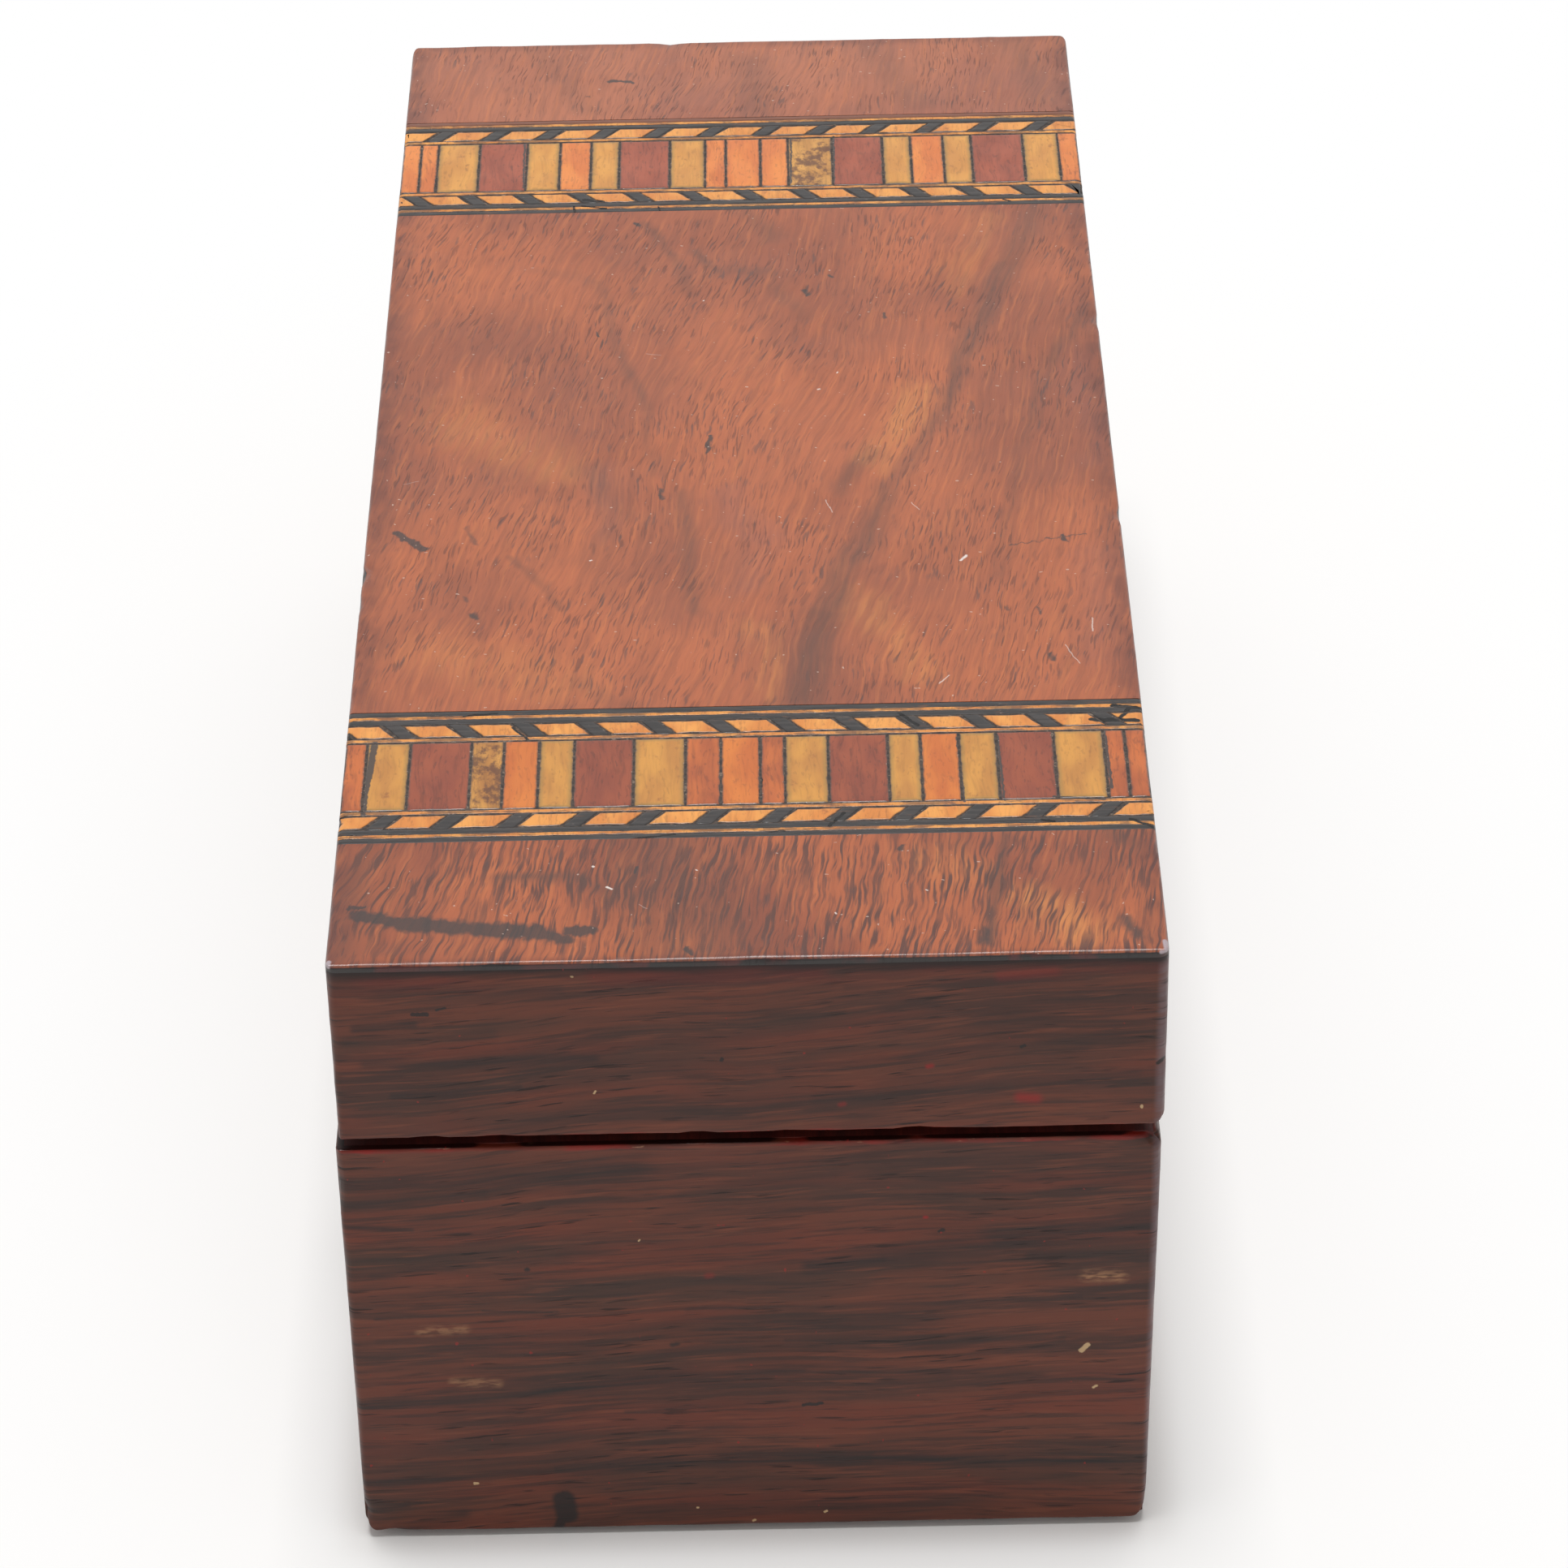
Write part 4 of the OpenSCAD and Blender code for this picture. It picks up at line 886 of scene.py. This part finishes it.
def inlay(node, material, gap=0, wobble=0.08, widen=0):
    """Hand-cut pieces in place of a CAD node's: uneven outlines and slightly rounded tops."""
    points, faces, inward = [], [], []
    for outline in outlines(node):
        if widen and len(outline) == 4:
            outline = widened(outline, widen)
        lengths = np.linalg.norm(np.roll(outline, -1, axis=0) - outline, axis=1)
        x, y = outline.T
        area = abs(np.dot(x, np.roll(y, -1)) - np.dot(y, np.roll(x, -1))) / 2
        reach = min(0.9, 0.85 * area / lengths.sum())
        counts = [max(2, round(length / RING_STEP)) for length in lengths]
        edge = along_outline(outline, counts)
        core = along_outline(moved_in(outline, reach), counts)
        flat = np.column_stack([edge, np.full(len(edge), TOP_Z)])
        uneven = gap + wobble * (0.5 + field(flat, 1.3, 11) + 0.5 * field(flat, 4, 23))
        by_side = np.minimum(edge[:, 0] - LID_LOW[0], LID_HIGH[0] - edge[:, 0]) < ON_SIDE
        share = np.where(by_side, 0, np.clip(uneven / reach, 0, 0.45))[:, None]
        first, size = len(points), len(edge)
        rings = [(0, depth, 0) for depth in SIDE_LEVELS]
        rings += [(way, depth, way * reach) for way, depth in TOP_RINGS]
        for way, depth, distance in rings:
            place = edge + (core - edge) * (share + (1 - share) * way)
            points += [(*p, TOP_Z - depth) for p in place]
            inward += list(np.where(by_side & (way < 1), 0.9, distance / min(0.5, 0.6 * reach)))
        for low in range(first, len(points) - size, size):
            high = low + size
            faces += [[low + k, low + (k + 1) % size, high + (k + 1) % size, high + k]
                      for k in range(size)]
        faces.append([first + k for k in reversed(range(size))])
        faces.append([len(points) - size + k for k in range(size)])
    made = mesh_object(node + "_inlay", wear_edges(np.array(points), True), faces, material)
    values = made.data.attributes.new("inward", "FLOAT", "POINT")
    values.data.foreach_set("value", [float(v) for v in inward])
    stand_in(made, node, "lid")


def glue_bed(name, node, material):
    """Thin dark layer that fills the lines between the pieces of a band, within a node's box."""
    low, high = span(node)
    low[2] = TOP_Z - GLUE_DEPTH
    points, quads = lattice_box(low + (0.05, 0.02, 0), high - (0.05, 0.02, 0))
    points = wear_edges(points, True)
    points[:, 2] += 0.02 * field(points, 1.5, 1) - GLUE_BELOW
    made = mesh_object(name, points, quads, material)
    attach(made, "lid")


# --- linings and small pieces ---

# Edges sharper than this are bevelled
BEVEL_ANGLE = math.radians(40)


def covered_card(node, body, inwards, material):
    """Velvet-covered card. Inwards is the sign of Z from its soft, uneven face to the card."""
    low, high = span(node)
    points, quads = lattice_box(low, high)
    centre, half = (low + high) / 2, (high - low) / 2
    share = np.abs(points[:, :2] - centre[:2]) / half[:2]
    border = np.clip((1 - share.max(axis=1)) * 14, 0, 1)
    face = (points[:, 2] - centre[2]) * inwards < 0
    dip = (0.18 + 0.12 * field(points, 22, 5)) * border + 0.25 * (1 - border)
    points[:, 2] += face * inwards * (0.4 - 0.6 * dip)
    made = mesh_object(node + "_cover", points, quads, material)
    stand_in(made, node, body)


def dress(material, width, *names):
    """Gives CAD nodes their material, and takes the sharpness off their edges."""
    for name in names:
        node = nodes[name]
        node.data.materials.clear()
        node.data.materials.append(material)
        bevel = node.modifiers.new("soft_edges", "BEVEL")
        bevel.width = width * MM
        bevel.segments = 2
        bevel.limit_method = "ANGLE"
        bevel.angle_limit = BEVEL_ANGLE


# --- build the object ---

WALNUTS = {
    "near": (11, (178, 92, 48), (140, 68, 40), 0.15, 0.95,
             NEAR_FIGURE, None, NEAR_GOLD, NEAR_MARKS, NEAR_LINT),
    "centre": (37, (180, 95, 53), (152, 78, 47), 0.2, 0.16,
               CENTRE_FIGURE, CENTRE_BLOOM, CENTRE_GOLD, CENTRE_MARKS, CENTRE_LINT),
    # The far field's paler, pinker tones are partly its own wood and partly painted reflection of the
    # bright backdrop in its polish
    "far": (71, (180, 104, 70), (160, 90, 64), 0.14, 0.12, FAR_FIGURE, None, None, FAR_MARKS, None),
}
ROSEWOODS = {"near": ("X", 5, True), "far": ("X", 43), "front": ("Y", 19), "back": ("Y", 67)}

for place, looks in WALNUTS.items():
    worn_skin("top_field_" + place, "lid", figured_walnut("walnut_" + place, *looks))
rosewood = {side: striped_rosewood("rosewood_" + side, *looks) for side, looks in ROSEWOODS.items()}
for prefix, body in (("lid_", "lid"), ("", "base")):
    for side in ("near", "far", "front"):
        worn_skin(f"{prefix}{side}_veneer", body, rosewood[side])
dress(rosewood["back"], 0.12, "back_veneer", "lid_back_veneer")

# Woods of the blocks: light and dark tone in the near and in the far band, pits and mottle
BLOCK_WOODS = {
    "orange": (((216, 122, 44), (198, 102, 36)), ((232, 138, 62), (216, 118, 52)), 0.22, 0),
    "red": (((200, 104, 42), (172, 84, 38)), ((228, 132, 58), (206, 110, 50)), 0.36, 0),
    "brown": (((156, 74, 42), (138, 62, 38)), ((168, 82, 54), (150, 70, 46)), 0.45, 0),
    "olive": (((212, 148, 62), (190, 127, 54)), ((222, 156, 70), (204, 138, 62)), 0.2, 0),
    "spalted": (((206, 146, 64), (172, 112, 46)), ((216, 156, 74), (186, 128, 58)), 0.3, 0.85),
}
OLIVE_RIM = (160, 124, 62)
BOXWOOD = ((236, 160, 74), (216, 132, 54))

glue = glue_line("old_glue")
for band, seed, cracks, fills in (("near", 3, NEAR_CRACKS, NEAR_FILLS),
                                  ("far", 29, FAR_CRACKS, FAR_FILLS)):
    ebony = ebonised(band + "_ebony", seed, cracks, band == "far")
    stringing = band_wood(band + "_stringing", *BOXWOOD, seed + 1, cracks, fills, broken=0.62)
    lozenge = band_wood(band + "_boxwood", *BOXWOOD, seed + 2, cracks, fills, 0.25)
    inlay(f"{band}_band_dark_lines", ebony, 0, 0.05)
    inlay(f"{band}_band_dark_lozenges", ebony, 0, 0.05, widen=-0.32)
    inlay(f"{band}_band_pale_lines", stringing, 0, 0.09)
    inlay(f"{band}_band_pale_lozenges", lozenge, 0.02, 0.14, widen=0.32)
    for i, (wood, (near_tones, far_tones, pits, mottle)) in enumerate(BLOCK_WOODS.items()):
        tones = near_tones if band == "near" else far_tones
        material = band_wood(f"{band}_{wood}", *tones, seed + 3 + i, cracks, fills, pits, mottle,
                             rim=OLIVE_RIM if wood == "olive" else None)
        inlay(f"{band}_band_{wood}_blocks", material)
    glue_bed(band + "_band_glue", f"{band}_band_dark_lines", glue)

pine = bare_wood("aged_pine", (176, 132, 84), (140, 96, 56), 2)
stained = bare_wood("stained_rim", (104, 34, 24), (74, 22, 18), 14)
lining = bare_wood("mahogany_lining", (122, 62, 38), (84, 40, 26), 21, polish=0.2)
lining_ends = bare_wood("mahogany_lining_ends", (122, 62, 38), (84, 40, 26), 27, "X", 0.2)
dress(pine, 0.15, "bottom_board", "slide_slip", "lid_top_board")
for side in ("back", "front", "near", "far"):
    dress(stained, 0.15, side + "_wall", f"lid_{side}_rail")
    wood = lining if side in ("back", "front") else lining_ends
    dress(wood, 0.25, side + "_lining", f"lid_{side}_lining")

velvet = worn_velvet("worn_velvet")
covered_card("floor_lining", "base", -1, velvet)
covered_card("lid_ceiling_lining", "lid", 1, velvet)

brass = aged_metal("aged_brass", (196, 152, 78), 4)
screw_brass = aged_metal("screw_brass", (206, 166, 92), 9)
iron = aged_metal("iron_brads", (92, 84, 78), 15)
dress(brass, 0.08, "hinge_base_leaves", "hinge_lid_leaves", "keeper_plate", "lock_bar")
dress(screw_brass, 0.05, "hinge_pins", "hinge_base_screws", "hinge_lid_screws", "keeper_screws",
      "slide_screws")
dress(iron, 0.05, "bottom_brads")


# --- camera ---

IMAGE = 1932  # side of the photo in pixels
SENSOR = 36
FOCAL_PIXELS = 6682.9
CAMERA_PLACE = (5.25, -619.2, 470.9)  # mm
YAW, PITCH, ROLL = math.radians(-0.025), math.radians(35.22), math.radians(-1.113)


def make_camera():
    """Camera at the photograph's viewing angle, above the near end."""
    data = bpy.data.cameras.new("camera")
    data.sensor_width = SENSOR
    data.lens = FOCAL_PIXELS / IMAGE * SENSOR
    data.clip_start, data.clip_end = 0.01, 20
    camera = placed("camera", data)
    place = Matrix.Translation(Vector(CAMERA_PLACE) * MM)
    turn = Matrix.Rotation(-YAW, 4, "Z") @ Matrix.Rotation(math.pi / 2 - PITCH, 4, "X")
    camera.matrix_world = place @ turn @ Matrix.Rotation(ROLL, 4, "Z")
    bpy.context.scene.camera = camera


make_camera()


# --- light and floor ---

WHITE = (1, 1, 1, 1)
FLOOR_HALF = 2.5  # m
# Distances from the box in mm between which the floor turns into plain white. As the fade starts inside
# the box, the floor's camera-only white glow is painted light that already thins the box's shadow close
# beside it
FADE = (-60, 120)
# Width in mm of the strip beside the box in which the fade sets in, so its contact shadow stays
CONTACT = 6


def surroundings():
    """World like a pale studio: brighter low down behind the box, and white where it is seen."""
    world = bpy.data.worlds.new("studio")
    bpy.context.scene.world = world
    g = Graph("studio", world)
    _, forward, upward = g.split(g.coords["Generated"])
    behind = g.step(forward, 0.1, 0.75)
    low_down = g.step(upward, 0.55, 0.9, 1, 0.25)
    strength = g.step(g.times(behind, low_down), 0, 1, 0.31, 0.86)
    path = g.node("ShaderNodeLightPath").outputs
    seen = g.larger(path["Is Camera Ray"], path["Is Transmission Ray"])
    light = g.shader("ShaderNodeBackground", (1, 0.99, 0.98, 1), strength)
    g.blend(seen, light, g.shader("ShaderNodeBackground", WHITE, 1))


def soft_lamp(name, place, aim, size, power):
    """Area lamp at place (m), turned towards aim."""
    data = bpy.data.lights.new(name, "AREA")
    data.shape = "RECTANGLE"
    data.size, data.size_y = size
    data.energy = power
    lamp = placed(name, data)
    lamp.location = place
    lamp.rotation_euler = (Vector(aim) - Vector(place)).to_track_quat("-Z", "Y").to_euler()


def make_floor():
    """Plain pale floor that keeps the object's contact shadow, with a camera-only white glow, painted
    light, that thins its shadow beside the box and turns it white further out.
    """
    half = FLOOR_HALF
    corners = [(-half, -half, 0), (half, -half, 0), (half, half, 0), (-half, half, 0)]
    mesh = bpy.data.meshes.new("floor")
    mesh.from_pydata(corners, [], [(0, 1, 2, 3)])
    floor = placed("floor", mesh)
    g = Graph("pale_floor")
    tint = g.noise(g.place, (400, 400, 400), 1)
    color = g.mix(tint, (0.94, 0.925, 0.905, 1), (0.95, 0.94, 0.925, 1))
    g.finish(color, 0.85)
    matt = g.output.inputs["Surface"].links[0].from_socket
    beside, beyond = (g.larger(g.distance_from(side, 0, half), 0)
                      for side, half in zip((g.x, g.y), BASE_HIGH))
    away = g.vector("LENGTH", g.join(beside, beyond, 0))
    seen = g.node("ShaderNodeLightPath").outputs["Is Camera Ray"]
    # Painted light: the white glow seen by the camera, which rises from the box's side outwards
    faded = g.times(g.step(away, *FADE), g.step(away, 0, CONTACT), seen)
    g.blend(faded, matt, g.shader("ShaderNodeEmission", WHITE, 1))
    mesh.materials.append(g.material)


surroundings()
soft_lamp("overhead", (-0.05, 0, 2.5), (0, 0, 0), (0.7, 0.7), 42)
soft_lamp("front_fill", (0.3, -1.2, 0.5), (0, 0, 0.04), (0.7, 0.7), 1.5)
make_floor()

bpy.context.scene.view_settings.view_transform = "Standard"
